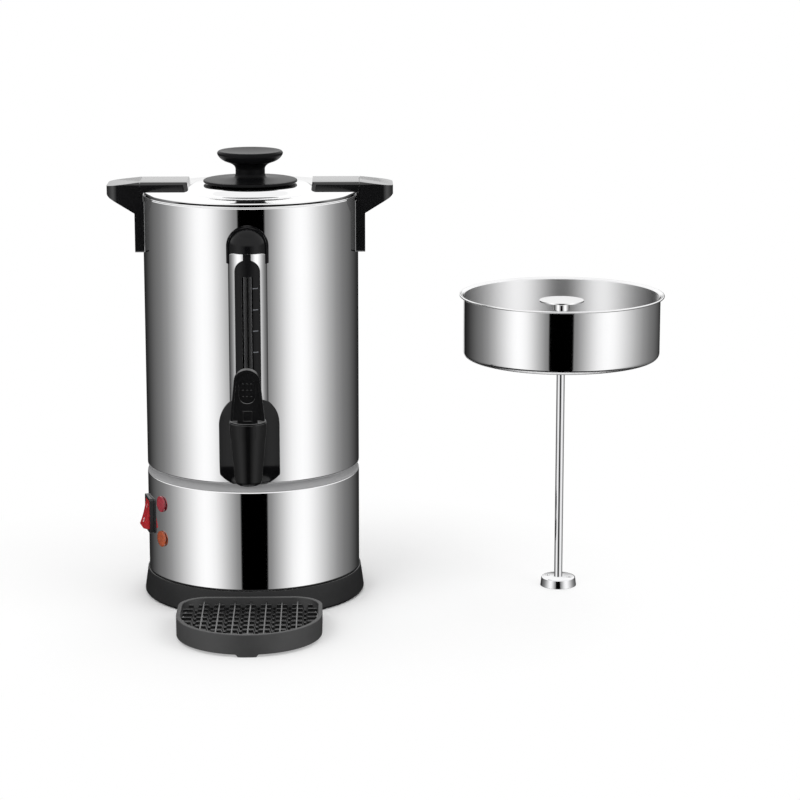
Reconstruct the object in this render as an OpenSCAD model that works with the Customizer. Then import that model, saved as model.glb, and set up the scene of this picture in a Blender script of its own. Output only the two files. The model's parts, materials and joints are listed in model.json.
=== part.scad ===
// Percolator coffee urn with its brewing set standing beside it.
// Origin: centre of the urn's base on the table. +Z is up, the tap faces -Y.

/* [Shells] */
// Outer diameter of the vessel and the lower shell
body_d = 220; // [200:1:250]
// Thickness of the steel sheet
sheet_t = 1; // [0.8:0.1:1.3]
// Height of the black base skirt
skirt_h = 26; // [24:1:36]
// Height of the lower shell
lower_h = 104; // [100:1:130]
// Height of the waist groove
waist_h = 8; // [6:0.5:10]
// Height of the upper shell, from the groove to the rim
upper_h = 280; // [270:1:340]
// Depth of the waist groove
waist_depth = 1.6; // [1.2:0.1:1.8]
// Radius of the rolled rim of the vessel
rim_bead_r = 1.6; // [1.2:0.1:2]
// How far the vessel floor lies below the groove
floor_drop = 6; // [4:1:8]
// Inner diameter of the heater well in the floor
well_d = 44; // [42:1:50]
// Depth of the heater well
well_depth = 18; // [14:1:20]

/* [Base] */
// How far the skirt flares out past the shell
skirt_flare = 4.7; // [3:0.1:7]
// How far the skirt laps over the bottom of the lower shell
skirt_lap_h = 6; // [4:1:8]
// Rounding of the skirt at the table
skirt_edge_r = 3; // [1:0.5:4]
// Width of the ring on which the skirt stands
stand_w = 5; // [4:0.5:6]
// Height of the space under the bottom cover
cover_z = 6; // [5:0.5:8]
// Diameter of a rubber foot
foot_pad_d = 18; // [14:1:24]

/* [Lid] */
// Radius of the lid's rolled edge
lid_edge_r = 1.6; // [1.3:0.1:2]
// Radius at which the dome leaves the flat band
dome_base_r = 70; // [66:1:76]
// Radius at which the dome levels off
dome_top_r = 57; // [52:1:60]
// Height of the dome over the band
dome_h = 5.8; // [4:0.1:8]
// Depth of the locating ring inside the vessel
lid_ring_h = 8; // [6:1:12]
// Diameter of the knob
knob_d = 67; // [60:1:80]
// Diameter of the knob's neck
knob_neck_d = 30; // [27:1:34]
// Height of the knob over its flange
knob_h = 27.5; // [26:0.5:32]
// Diameter of the knob flange
flange_d = 96; // [90:1:102]
// Height of the knob flange
flange_h = 5; // [4.5:0.5:9]

/* [Handles] */
// Width of a handle and of the lid's ears
handle_w = 50; // [44:1:60]
// How far a handle reaches out past the shell
grip_reach = 35.5; // [25:0.5:45]
// Height of the handle's grip at its tip
grip_tip_h = 12; // [10:1:16]
// Height of the handle's leg below the rim
leg_drop = 58; // [50:1:70]
// Thickness of the leg outside the vessel
leg_t = 7; // [6:0.5:9]
// Length of a lid ear
ear_len = 49; // [40:1:54]
// Height of a lid ear
ear_h = 10.2; // [9:0.1:12]

/* [Sight gauge] */
// Radius of the half-round channel
channel_r = 19.5; // [18:0.5:22]
// How far inside the vessel surface the channel's axis lies
channel_sink = 4; // [3:0.5:5]
// How far below the rim the polished channel ends
channel_drop = 44; // [33:1:58]
// Width of the black panel
panel_w = 25; // [23:0.5:27]
// Width of the window slot
window_w = 10.8; // [10:0.2:12]
// Outer diameter of the clear tube
tube_d = 8; // [7:0.2:8.4]
// Bore of the clear tube
tube_bore_d = 5; // [4:0.2:5.4]
// Distance between two marks on the panel
mark_step = 21.3; // [16:0.1:24]
// Number of marks
mark_count = 4; // [3:1:5]

/* [Tap] */
// Height of the tap's shank above the table
tap_z = 183; // [178:1:190]
// Distance of the spout's axis from the vessel surface
spout_reach = 38; // [36:1:44]
// Outer diameter of the collar
collar_d = 36.4; // [35:0.2:38]
// Height of the collar
collar_h = 16; // [14:1:18]
// Height of the tap's cup below the collar
cup_h = 49; // [44:1:54]
// Diameter of the nozzle
nozzle_d = 16; // [14:1:18]
// Bore of the nozzle
nozzle_bore_d = 10; // [8:1:11]
// Height of the lever above the collar
lever_h = 55; // [45:1:65]
// Width of the back plate
plate_w = 60.5; // [56:0.5:66]
// Height of the back plate
plate_h = 92; // [88:1:100]
// How far the back plate's crown stands out of the vessel
plate_out = 15; // [14.5:0.5:18]

/* [Switch and lamps] */
// Angle of the switch, from the front towards the left
switch_angle = 76; // [70:1:84]
// Angle of the pilot lamps, from the front towards the left
lamp_angle = 57; // [50:1:60]
// Height of the switch's centre above the table
switch_z = 87; // [84:1:92]
// Width of the switch bezel
bezel_w = 29; // [26:1:32]
// Height of the switch bezel
bezel_h = 37; // [34:1:40]
// Tilt of the rocker at each end of its travel
rocker_tilt = 14; // [9:1:14]
// Diameter of a pilot lamp's lens
lamp_d = 16.4; // [14:0.2:18]
// Distance of each lamp above or below the switch's centre
lamp_offset = 18.4; // [16:0.2:20]

/* [Drip tray] */
// Width of the tray
tray_w = 144.6; // [130:0.2:156]
// Length of the tray, front to back
tray_len = 133; // [125:1:145]
// Height of the tray
tray_h = 22.5; // [20:0.5:26]
// Radius of the tray's back corners
tray_corner_r = 30; // [20:1:36]
// Width of the tray's flat rim
tray_rim_w = 4.2; // [3:0.1:6]
// Distance between two ribs of the grille
rib_pitch = 15.7; // [14:0.1:18]
// Thickness of the grille's ribs
rib_t = 1.4; // [1.2:0.1:2]
// Depth of the wave of the cross ribs
wave_depth = 6; // [5:0.5:7]
// Distance between two wave ribs
wave_pitch = 14.4; // [12:0.1:18]

/* [Brewing set] */
// Distance of the brewing set from the urn's axis
brew_x = 320; // [290:1:380]
// Height of the basket's rim above the stem's foot
brew_h = 312; // [300:1:320]
// Depth of the basket
basket_h = 66; // [55:1:80]
// Width of the basket's rolled lip
lip_w = 4.2; // [3:0.1:6]
// Rounding of the basket's bottom corner
basket_corner_r = 9; // [6:1:14]
// Outer diameter of the pump stem
stem_d = 8.6; // [8:0.2:10]
// Bore of the pump stem
stem_bore_d = 5.4; // [4:0.2:6]
// Diameter of the stem's foot
stem_foot_d = 38; // [34:1:40]
// Height of the stem's foot
stem_foot_h = 9.5; // [9:0.5:12]
// Diameter of the spreader disc
spreader_d = 46; // [40:1:54]
// How far the spreader disc lies below the basket's rim
spreader_drop = 8; // [6:1:14]

/* [Hidden] */
$fn = 64;
// One overrun for all cuts
over = 1;
// Gap between curved faces that lie side by side
skin_gap = 0.3;
// Radial clearance of a pin or rod that turns or slides in its hole
run_gap = 0.1;
// Clearance of a screw in its hole
screw_gap = 0.25;
// Gap between the vessel's inside and what is lowered into it
drop_gap = 0.8;

// Heights of the shells
body_r = body_d / 2;
inner_r = body_r - sheet_t;
neck_r = body_r - waist_depth;
z_seat = skirt_h - skirt_lap_h;
z_waist = skirt_h + lower_h;
z_upper = z_waist + waist_h;
z_rim = z_upper + upper_h;
z_shoulder = z_waist - sheet_t;
z_floor = z_waist - floor_drop;
z_well = z_floor - well_depth;
well_r = well_d / 2;
rim_inner_r = body_r - 2 * rim_bead_r;
skirt_r = body_r + skirt_flare;

// Base details
skirt_lap_t = 1.2;
ledge_t = 3;
ledge_w = 6;
ledge_r = body_r - ledge_w;
cover_t = 1.2;
cover_r = skirt_r - stand_w - skin_gap;
pad_share = 0.78;
pad_ring_r = cover_r * pad_share;
vent_w = 4;
vent_len = 34;
vent_count = 5;
cover_screw_r = 2;
cover_screw_count = 4;
cover_screw_inset = 3.2;
cover_screw_ring_r = ledge_r + cover_screw_inset - ledge_w / 2;
screw_head_h = 2.2;

// Heater parts under the floor
plate_in_gap = 2;
heater_in_r = well_r + sheet_t + plate_in_gap;
heater_out_r = 78;
heater_t = 7;
z_heater = z_floor - sheet_t - heater_t;
element_ring_r = 64;
element_r = 4;
element_angle = 300;
element_leg = 14;
element_pin_r = 2.5;
element_pin_turn = 3;
bracket_w = 20;
bracket_t = 2;
bracket_foot = 12;
bracket_half = 50;
stud_r = 3;
stud_len = 16;
nut_h = 5;
nut_r = 5.8;
thermostat_r = 9;
thermostat_h = 7;
thermostat_ring_r = 42;
terminal_gap = 4;
fuse_r = 2.2;
fuse_len = 18;
fuse_clip_t = 1;
block_size = [34, 20, 15];
block_screw_r = 1.8;
block_ring_r = 45;

// Power inlet
inlet_w = 28;
inlet_h = 21;
inlet_flange = 2.5;
inlet_flange_t = 3;
inlet_depth = 22;
inlet_wall = 2;
inlet_z = 60;
blade_w = 2;
blade_h = 4;
blade_len = 13;
blade_side = 7;
blade_lift = 2;

// Lid details
lid_r = body_r - rim_bead_r / 2;
z_band = z_rim + skin_gap + 2 * lid_edge_r;
lid_ring_r = rim_inner_r - drop_gap;
z_dome = z_band + dome_h;
dome_rise = 1.6;
dome_steps = 12;
knob_bore_r = 3;
knob_screw_len = 22;
knob_washer_r = 12;
knob_washer_t = 1.5;
z_flange = z_dome + dome_rise;
z_knob = z_flange + flange_h;
z_screw = z_dome - sheet_t - knob_washer_t;
flange_edge_h = 2.6;
flange_r = flange_d / 2;
knob_r = knob_d / 2;
knob_neck_r = knob_neck_d / 2;
knob_dish = 2;
knob_dish_r = knob_r * knob_r / knob_dish / 4;
knob_round_share = 0.1;
knob_round_r = knob_h * knob_round_share;
// Underside of the knob: shares of its radius, and of its height from the top down
knob_shares = [[0.448, 0.673], [0.472, 0.596], [0.502, 0.56], [0.531, 0.52], [0.576, 0.484],
    [0.654, 0.444], [0.743, 0.407], [0.806, 0.371], [0.896, 0.295], [0.955, 0.218]];
// Top of the flange: shares of its radius and of its height
flange_shares = [[0.7, 0.62], [0.45, 0.76], [0.36, 0.88]];

// Handle details
seam_w = 0.4;
ear_out = body_r + sheet_t;
ear_in = ear_out - ear_len;
ear_slope = 1.6;
edge_r = 3;
tip_r = 11;
grip_fall = 4;
grip_end = body_r + grip_reach;
grip_in = ear_out + seam_w;
z_ear = z_band + ear_h;
z_tip = z_ear - grip_fall - grip_tip_h;
notch_depth = 9;
z_notch = z_band - notch_depth;
z_leg = z_rim - leg_drop;
flank_h = 40;
z_flank = z_leg + flank_h;
handle_screw_r = 2.5;
handle_screw_low = 10;
handle_screw_high = 40;
handle_screw_len = 6;
screw_head_x = inner_r - skin_gap;
ear_screw_r = 2;
ear_screw_inset = 12;
ear_screw_len = 8;

// Gauge details
channel_y = -(body_r - channel_sink);
channel_t = 1;
z_channel = z_rim - channel_drop;
panel_t = 3;
panel_gap = 0.3;
panel_drop = 6;
z_panel = z_channel - panel_drop;
bridge_w = 7.4;
window_drop = 17;
z_window = z_panel - window_drop;
mark_w = 5;
mark_t = 1;
mark_out = 0.4;
mark_first = 12;
cap_over = 1.6;
cap_r = channel_r + cap_over;
cap_h = 26.6;
z_cap = z_channel + cap_h;
cap_fall = 9;
cap_rim_out = 5;
horn_drop = 11;
seal_t = 1.4;
seal_h = 7;
tube_back_t = 0.5;
tube_y = -(body_r + skin_gap + tube_back_t + seal_t + tube_d / 2);
tube_top_rise = 10;
z_tube_top = z_channel + tube_top_rise;
cap_screw_r = 2;
cap_screw_len = 9;
cap_screw_rise = 17;
z_cap_screw = z_channel + cap_screw_rise;

// Tap details
spout_y = -(body_r + spout_reach);
collar_r = collar_d / 2;
collar_wall = 1.4;
collar_skin = 0.4;
collar_rise = 13;
z_collar = tap_z + collar_rise;
z_collar_top = z_collar + collar_h;
cup_r = collar_r - collar_wall;
cup_foot_r = 13.4;
z_spout = z_collar - cup_h;
nozzle_r = nozzle_d / 2;
nozzle_bore_r = nozzle_bore_d / 2;
nozzle_round = cup_foot_r - nozzle_r;
chamber_r = 11;
valve_rise = 22;
z_valve = z_spout + valve_rise;
collar_band = 1.6;
collar_notch_w = 2.4;
collar_notch_count = 8;
collar_notch_turn = 22.5;
shank_r = 8;
shank_bore_r = 5;
shank_in = 17;
shank_flange_r = 13;
shank_flange_t = 3;
gasket_t = 2.5;
flange_y = -(body_r + gasket_t);
tap_nut_r = 14;
tap_nut_h = 7;
washer_y = sqrt(inner_r * inner_r - tap_nut_r * tap_nut_r) - skin_gap;
boss_wall = 1;
tube_boss_r = tube_d / 2 + seal_t + boss_wall;
tube_boss_h = 14;
z_boss = tap_z + tube_boss_h;
z_socket = z_boss - seal_h;
plate_t = 2;
plate_curve_r = 45;
plate_axis_y = -(body_r + plate_out - plate_curve_r);
plate_corner_r = 12;
plate_drop = 45;
z_plate = tap_z - plate_drop;
z_plate_low = z_plate + plate_w / 2;
z_arch = z_plate + plate_h - plate_w / 2;
web_t = 3;
web_drop = 13.5;
z_web = z_collar_top - web_drop;
rod_r = 2;
rod_head_r = 3.6;
rod_head_h = 2;
seat_cup_r = 8;
seat_cup_h = 6;
lever_axis_out = 8;
lever_axis_drop = 6;
lever_y = spout_y - lever_axis_out;
lever_z = z_collar_top - lever_axis_drop;
lever_pin_r = 1.5;
lever_hub_r = 4;
lever_t = 5;
lever_base_w = 20;
lever_low_w = 34;
lever_top_w = 26;
lever_rail_w = 2.4;
lever_rail_out = 1.6;
lever_lift = 2.6;
fork_t = 2.4;
fork_w = 9;
z_fork = lever_z + fork_t / 2;
thumb_w = 16;
thumb_h = 26;
thumb_z = 33;
latch_z = 7;
thumb_depth = 1.4;
grip_dot_r = 0.9;
latch_w = 9.4;
latch_h = 11;
latch_line = 0.7;
lever_lean = 6;
spring_wire_r = 0.6;
spring_r = 5.4;
spring_turns = 6;
spring_steps = 12;
spring_sides = 6;

// Switch and lamp details
bezel_out = 3;
bezel_frame = 3;
bezel_corner_r = 3;
switch_depth = 28;
switch_wall = 1.6;
rocker_hole_w = bezel_w - 2 * bezel_frame;
rocker_hole_h = bezel_h - 2 * bezel_frame;
switch_body_w = rocker_hole_w + 2 * switch_wall;
switch_body_h = rocker_hole_h + 2 * switch_wall;
rocker_gap = 0.5;
rocker_len = rocker_hole_h - 2 * rocker_gap;
rocker_pin_r = 1.6;
rocker_pin_in = 1.2;
rocker_pin_half = rocker_hole_w / 2 + rocker_pin_in;
rocker_axis_drop = 1.5;
rocker_y = -(body_r + bezel_out - rocker_axis_drop);
rocker_out = 3.2;
rocker_back = 5;
rocker_dish = 1.2;
rocker_tip_share = 0.96;
rocker_side_share = 0.98;
rocker_back_share = 0.85;
lens_out = 3;
lens_dome = 1.2;
lens_ball_r = (lamp_d * lamp_d / 4 + lens_dome * lens_dome) / lens_dome / 2;
lens_plug = 6;
holder_r = 6.2;
holder_wall = 1.2;
holder_end_t = 2;
holder_len = 24;
holder_ring_r = 7.6;
holder_ring_t = 2;
holder_ring_y = -sqrt(inner_r * inner_r - holder_ring_r * holder_ring_r) + skin_gap;

// Tray details
tray_y = -(skirt_r + skin_gap);
tray_lift = 2.5;
tray_floor_t = 2;
tray_foot_w = 22;
tray_foot_len = 10;
tray_foot_slope = 2;
tray_front_r = tray_w / 2;
grille_gap = 0.6;
grille_drop = 3.5;
z_grille = tray_h - grille_drop;
grille_ledge_w = 1.8;
grille_frame_h = 3;
wave_strip_h = 3;
wave_drop = 0.7;
z_wave = z_grille - wave_drop;
z_ledge = z_wave - wave_strip_h - wave_depth;
rib_h = 4;
crest_share = 0.66;
trough_share = 0.14;
rib_side_count = 3;
wave_first = 15;
wave_count = 8;

// Brewing set details
basket_lip_r = rim_inner_r - drop_gap;
basket_r = basket_lip_r - lip_w;
lip_bead_r = 1.1;
lip_drop = 1.6;
z_basket = brew_h - basket_h;
strainer_r = basket_r - basket_corner_r;
strainer_ledge = 4;
strainer_gap = 0.2;
strainer_t = 1;
z_strainer = z_basket + sheet_t;
strainer_hole_r = 1.6;
strainer_ring_first = 22;
strainer_ring_step = 14;
strainer_ring_count = 5;
strainer_hole_step = 14;
stem_r = stem_d / 2;
stem_bore_r = stem_bore_d / 2;
guide_gap = 0.3;
guide_t = 2.3;
guide_r = stem_r + guide_gap + guide_t;
guide_foot_r = 12;
guide_foot_t = 1.5;
z_guide = z_strainer - guide_foot_t;
z_spreader = brew_h - spreader_drop;
spreader_t = 1.4;
spreader_hub_h = 9;
spreader_hub_t = 1.2;
spreader_seat = 5;
z_guide_top = z_spreader - spreader_seat;
spreader_window_w = 5;
spreader_lip_h = 3;
stem_top_gap = 4;
stop_r = 9;
stop_h = 3;
foot_chamber_r = 8.6;
foot_floor_t = 1.2;
foot_chamber_h = 4.2;
foot_roof_t = 1;
z_stem = foot_floor_t + foot_chamber_h + foot_roof_t;
foot_hole_r = 2.3;
foot_hole_ring_r = 11.9;
foot_hole_angle = 160;
foot_edge_r = 1.5;
foot_draft = 1;
flap_r = 7.4;
flap_t = 1;
flap_hole_r = 4.5;

// Colours
steel = "silver";
bright = "gainsboro";
black = "#1d1d1f";
tray_grey = "#3a3a3c";

// Helpers

// Turns its children so that their local -Y direction points out at an angle
// from the front towards the left
module at_angle(angle) {
    rotate([0, 0, -angle]) children();
}

// A cylinder along Y, from y0 to y1
module rod_y(r, y0, y1) {
    translate([0, y1, 0]) rotate([90, 0, 0]) cylinder(r = r, h = y1 - y0);
}

// A cylinder along X, from x0 to x1
module rod_x(r, x0, x1) {
    translate([x0, 0, 0]) rotate([0, 90, 0]) cylinder(r = r, h = x1 - x0);
}

// A flat outline in X and Z, made solid from y0 to y1
module plate_y(y0, y1) {
    translate([0, y1, 0]) rotate([90, 0, 0]) linear_extrude(height = y1 - y0) children();
}

// A rectangle with rounded corners, centred
module rounded_square(w, h, r) {
    square([w - 2 * r, h], center = true);
    square([w, h - 2 * r], center = true);
    for (sx = [-1, 1], sy = [-1, 1])
        translate([sx * (w / 2 - r), sy * (h / 2 - r)]) circle(r = r);
}

// The space inside the outer surface of the shells, with the skin gap
module body_core(z0, z1) {
    translate([0, 0, z0]) cylinder(r = body_r + skin_gap, h = z1 - z0, $fn = 128);
}

// Vessel and base

module vessel_profile() {
    translate([inner_r, z_upper]) square([sheet_t, z_rim - rim_bead_r - z_upper]);
    translate([body_r - rim_bead_r, z_rim - rim_bead_r]) circle(r = rim_bead_r);
    difference() {
        translate([neck_r - sheet_t, z_shoulder])
            square([waist_depth + sheet_t, waist_h + 2 * sheet_t]);
        translate([neck_r, z_waist + waist_depth])
            square([waist_depth + over, waist_h - 2 * waist_depth]);
        for (z = [z_waist + waist_depth, z_upper - waist_depth])
            translate([body_r, z]) circle(r = waist_depth);
    }
    translate([neck_r - sheet_t, z_floor - sheet_t])
        square([sheet_t, z_shoulder - z_floor + 2 * sheet_t]);
}

module vessel() {
    color(steel) difference() {
        rotate_extrude($fn = 128) vessel_profile();
        translate([0, 0, tap_z]) rod_y(shank_r + screw_gap, -body_r - over, -inner_r / 2);
        for (s = [0, 1], z = [handle_screw_low, handle_screw_high])
            mirror([s, 0, 0]) translate([0, 0, z_leg + z])
                rod_x(handle_screw_r + screw_gap, inner_r / 2, body_r + over);
        translate([0, 0, z_cap_screw])
            rod_y(cap_screw_r + screw_gap, -body_r - over, -inner_r / 2);
    }
}

module vessel_floor() {
    color(steel) {
        rotate_extrude($fn = 128) {
            translate([well_r, z_floor - sheet_t]) square([neck_r - sheet_t - well_r, sheet_t]);
            translate([well_r, z_well - sheet_t]) square([sheet_t, well_depth + sheet_t]);
            translate([0, z_well - sheet_t]) square([well_r + sheet_t, sheet_t]);
        }
        translate([0, 0, z_well - sheet_t - stud_len])
            cylinder(r = stud_r, h = stud_len + sheet_t / 2);
    }
}

module lower_shell() {
    color(steel) difference() {
        rotate_extrude($fn = 128) {
            translate([inner_r, z_seat]) square([sheet_t, z_shoulder - z_seat]);
            translate([neck_r + skin_gap, z_shoulder - sheet_t])
                square([waist_depth - skin_gap, sheet_t]);
        }
        at_angle(switch_angle) translate([0, 0, switch_z])
            plate_y(-body_r - over, -body_r / 2)
                square([switch_body_w + 2 * screw_gap, switch_body_h + 2 * screw_gap],
                       center = true);
        for (s = [-1, 1]) at_angle(lamp_angle) translate([0, 0, switch_z + s * lamp_offset])
            rod_y(holder_r + screw_gap, -body_r - over, -body_r / 2);
        translate([0, 0, inlet_z]) plate_y(body_r / 2, body_r + over)
            square([inlet_w + 2 * screw_gap, inlet_h + 2 * screw_gap], center = true);
    }
}

module base_skirt() {
    color(black) difference() {
        rotate_extrude($fn = 128) {
            polygon([
                [ledge_r, z_seat], [body_r + skin_gap, z_seat],
                [body_r + skin_gap, skirt_h], [body_r + skirt_lap_t, skirt_h],
                [skirt_r, skirt_edge_r], [skirt_r - skirt_edge_r, 0],
                [skirt_r - stand_w, 0], [skirt_r - stand_w, cover_z + cover_t],
                [ledge_r, cover_z + cover_t]
            ]);
            translate([skirt_r - skirt_edge_r, skirt_edge_r]) circle(r = skirt_edge_r);
        }
        for (i = [0 : cover_screw_count - 1])
            rotate(45 + i * 360 / cover_screw_count)
                translate([cover_screw_ring_r, 0, cover_z])
                    cylinder(r = cover_screw_r, h = z_seat - cover_z - ledge_t);
    }
}

module bottom_cover() {
    color(steel) difference() {
        translate([0, 0, cover_z]) cylinder(r = cover_r, h = cover_t, $fn = 128);
        for (i = [0 : cover_screw_count - 1])
            rotate(45 + i * 360 / cover_screw_count)
                translate([cover_screw_ring_r, 0, cover_z - over])
                    cylinder(r = cover_screw_r + screw_gap, h = cover_t + 2 * over);
        for (i = [0 : vent_count - 1])
            translate([0, (i - (vent_count - 1) / 2) * 3 * vent_w, cover_z - over])
                linear_extrude(height = cover_t + 2 * over)
                    square([vent_len, vent_w], center = true);
    }
}

module cover_screws() {
    color(bright) for (i = [0 : cover_screw_count - 1])
        rotate(45 + i * 360 / cover_screw_count)
            translate([cover_screw_ring_r, 0, cover_z]) {
                cylinder(r = cover_screw_r, h = z_seat - cover_z - 2 * ledge_t);
                translate([0, 0, -screw_head_h]) cylinder(r = 2 * cover_screw_r, h = screw_head_h);
            }
}

module rubber_feet() {
    color(black) for (i = [0 : 3]) rotate(i * 90) translate([pad_ring_r, 0, 0])
        cylinder(r = foot_pad_d / 2, h = cover_z);
}

// Heater and wiring parts under the vessel

module heater_plate() {
    color(bright) rotate_extrude($fn = 96) difference() {
        translate([heater_in_r, z_heater]) square([heater_out_r - heater_in_r, heater_t]);
        translate([element_ring_r, z_heater]) circle(r = element_r + skin_gap);
    }
}

module heating_element() {
    color("dimgray") rotate(90 + (360 - element_angle) / 2) {
        rotate_extrude(angle = element_angle, $fn = 96)
            translate([element_ring_r, z_heater]) circle(r = element_r);
        for (a = [element_pin_turn, element_angle - element_pin_turn]) rotate(a)
            translate([element_ring_r, 0, z_heater - element_leg])
                cylinder(r = element_pin_r, h = element_leg);
    }
}

module heater_bracket() {
    z_bar = z_well - sheet_t - bracket_t;
    color(steel) difference() {
        plate_y(-bracket_w / 2, bracket_w / 2) polygon([
            [-bracket_half, z_heater], [-bracket_half, z_heater - bracket_t],
            [-bracket_half + bracket_foot, z_heater - bracket_t],
            [-well_r, z_bar], [well_r, z_bar],
            [bracket_half - bracket_foot, z_heater - bracket_t],
            [bracket_half, z_heater - bracket_t], [bracket_half, z_heater],
            [bracket_half - bracket_foot, z_heater],
            [well_r + sheet_t, z_bar + bracket_t], [-well_r - sheet_t, z_bar + bracket_t],
            [-bracket_half + bracket_foot, z_heater]
        ]);
        translate([0, 0, z_bar - over]) cylinder(r = stud_r + screw_gap, h = bracket_t + 2 * over);
    }
}

module bracket_nut() {
    color(bright) translate([0, 0, z_well - sheet_t - bracket_t - nut_h]) difference() {
        cylinder(r = nut_r, h = nut_h, $fn = 6);
        translate([0, 0, -over]) cylinder(r = stud_r + run_gap, h = nut_h + 2 * over);
    }
}

module thermostat(side) {
    translate([0, side * thermostat_ring_r, z_heater - thermostat_h]) {
        cylinder(r = thermostat_r, h = thermostat_h);
        for (s = [-1, 1]) translate([s * terminal_gap, 0, -thermostat_h / 2])
            cube([blade_w / 2, blade_h, thermostat_h], center = true);
    }
}

module boil_thermostat() { color("ivory") thermostat(1); }

module warm_thermostat() { color("ivory") thermostat(-1); }

module thermal_fuse() {
    color("gold") rotate(45)
        translate([heater_in_r + thermostat_r, 0, z_heater - fuse_r - fuse_clip_t]) {
            rod_y(fuse_r, -fuse_len / 2, fuse_len / 2);
            translate([-fuse_r, -fuse_len / 4, 0])
                cube([2 * fuse_r, fuse_len / 2, fuse_r + fuse_clip_t]);
        }
}

module terminal_block() {
    color("ivory") translate([0, block_ring_r, cover_z + cover_t]) difference() {
        translate([-block_size[0] / 2, -block_size[1] / 2, 0]) cube(block_size);
        for (i = [-1 : 1]) translate([i * block_size[0] / 3, 0, block_size[2] / 2])
            cylinder(r = block_screw_r, h = block_size[2]);
    }
}

module power_inlet() {
    color(black) difference() {
        union() {
            difference() {
                translate([0, 0, inlet_z]) plate_y(body_r / 2, body_r + inlet_flange_t)
                    rounded_square(inlet_w + 2 * inlet_flange, inlet_h + 2 * inlet_flange,
                                   inlet_flange);
                body_core(inlet_z - inlet_h, inlet_z + inlet_h);
            }
            translate([0, 0, inlet_z])
                plate_y(body_r + inlet_flange_t - inlet_depth, body_r + inlet_flange_t - over)
                    square([inlet_w, inlet_h], center = true);
        }
        translate([0, 0, inlet_z])
            plate_y(body_r + inlet_flange_t - inlet_depth + inlet_wall,
                    body_r + inlet_flange_t + over)
                rounded_square(inlet_w - 2 * inlet_wall, inlet_h - 2 * inlet_wall, inlet_wall);
    }
    color("gold") for (p = [[0, blade_lift], [-blade_side, -blade_lift], [blade_side, -blade_lift]])
        translate([p[0] - blade_w / 2,
                   body_r + inlet_flange_t - inlet_depth + inlet_wall / 2,
                   inlet_z + p[1] - blade_h / 2])
            cube([blade_w, blade_len + inlet_wall / 2, blade_h]);
}

// Lid

// Height of the lid's top surface at a radius
function lid_z(r) =
    r >= dome_base_r ? z_band :
    r >= dome_top_r ? z_band + dome_h
        * (1 - cos(180 * (dome_base_r - r) / (dome_base_r - dome_top_r))) / 2 :
    z_dome + dome_rise * (1 - r / dome_top_r);

function dome_radii() = concat([0], [for (i = [0 : dome_steps])
    dome_top_r + (dome_base_r - dome_top_r) * i / dome_steps]);

module lid() {
    lid_hub_r = knob_washer_r + sheet_t;
    color(bright) difference() {
        rotate_extrude($fn = 128) {
            difference() {
                polygon(concat(
                    [for (r = dome_radii()) [r, lid_z(r)]],
                    [[lid_r - lid_edge_r, z_band], [lid_r - lid_edge_r, z_band - sheet_t]],
                    [for (i = [dome_steps + 1 : -1 : 0])
                        [dome_radii()[i], lid_z(dome_radii()[i]) - sheet_t]]
                ));
                square([lid_hub_r, z_dome]);
            }
            translate([0, z_dome - sheet_t]) square([lid_hub_r + sheet_t, sheet_t]);
            translate([0, z_dome - over]) square([lid_hub_r, over + dome_rise / 2]);
            translate([lid_r - lid_edge_r, z_band - lid_edge_r]) circle(r = lid_edge_r);
            translate([lid_ring_r - sheet_t, z_rim - lid_ring_h])
                square([sheet_t, z_band - z_rim + lid_ring_h - sheet_t / 2]);
        }
        translate([0, 0, z_band]) cylinder(r = knob_bore_r + screw_gap, h = 2 * dome_h);
        for (s = [-1, 1], y = [-1, 1])
            translate([s * (ear_in + ear_screw_inset), y * ear_screw_inset, z_band - 2 * sheet_t])
                cylinder(r = ear_screw_r + screw_gap, h = 4 * sheet_t);
    }
}

module ear() {
    intersection() {
        plate_y(-handle_w / 2, handle_w / 2) polygon([
            [ear_in, z_band], [ear_out, z_band], [ear_out, z_ear], [ear_in + ear_slope, z_ear]
        ]);
        translate([ear_in, 0, z_band]) linear_extrude(height = ear_h) {
            translate([ear_len / 2, 0]) rounded_square(ear_len, handle_w, 2 * edge_r);
            translate([ear_len / 2, -handle_w / 2]) square([ear_len / 2, handle_w]);
        }
        translate([ear_in - over, 0, z_band]) rotate([90, 0, 90])
            linear_extrude(height = ear_len + 2 * over) {
                rounded_square(handle_w, 2 * ear_h, edge_r);
            }
    }
}

module ear_with_holes() {
    difference() {
        ear();
        translate([0, 0, skin_gap]) rotate_extrude($fn = 128) polygon(concat(
            [[0, z_rim]], [for (r = dome_radii()) [r, lid_z(r)]], [[dome_base_r, z_rim]]
        ));
        for (y = [-1, 1])
            translate([ear_in + ear_screw_inset, y * ear_screw_inset, z_band - over])
                cylinder(r = ear_screw_r, h = ear_screw_len + over);
    }
}

module lid_ear_right() { color(black) ear_with_holes(); }

module lid_ear_left() { color(black) mirror([1, 0, 0]) ear_with_holes(); }

module ear_screws() {
    color(bright) for (s = [-1, 1], y = [-1, 1])
        translate([s * (ear_in + ear_screw_inset), y * ear_screw_inset,
                   z_band - sheet_t - screw_head_h]) {
            cylinder(r = 2 * ear_screw_r, h = screw_head_h);
            cylinder(r = ear_screw_r, h = ear_screw_len + screw_head_h);
        }
}

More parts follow.
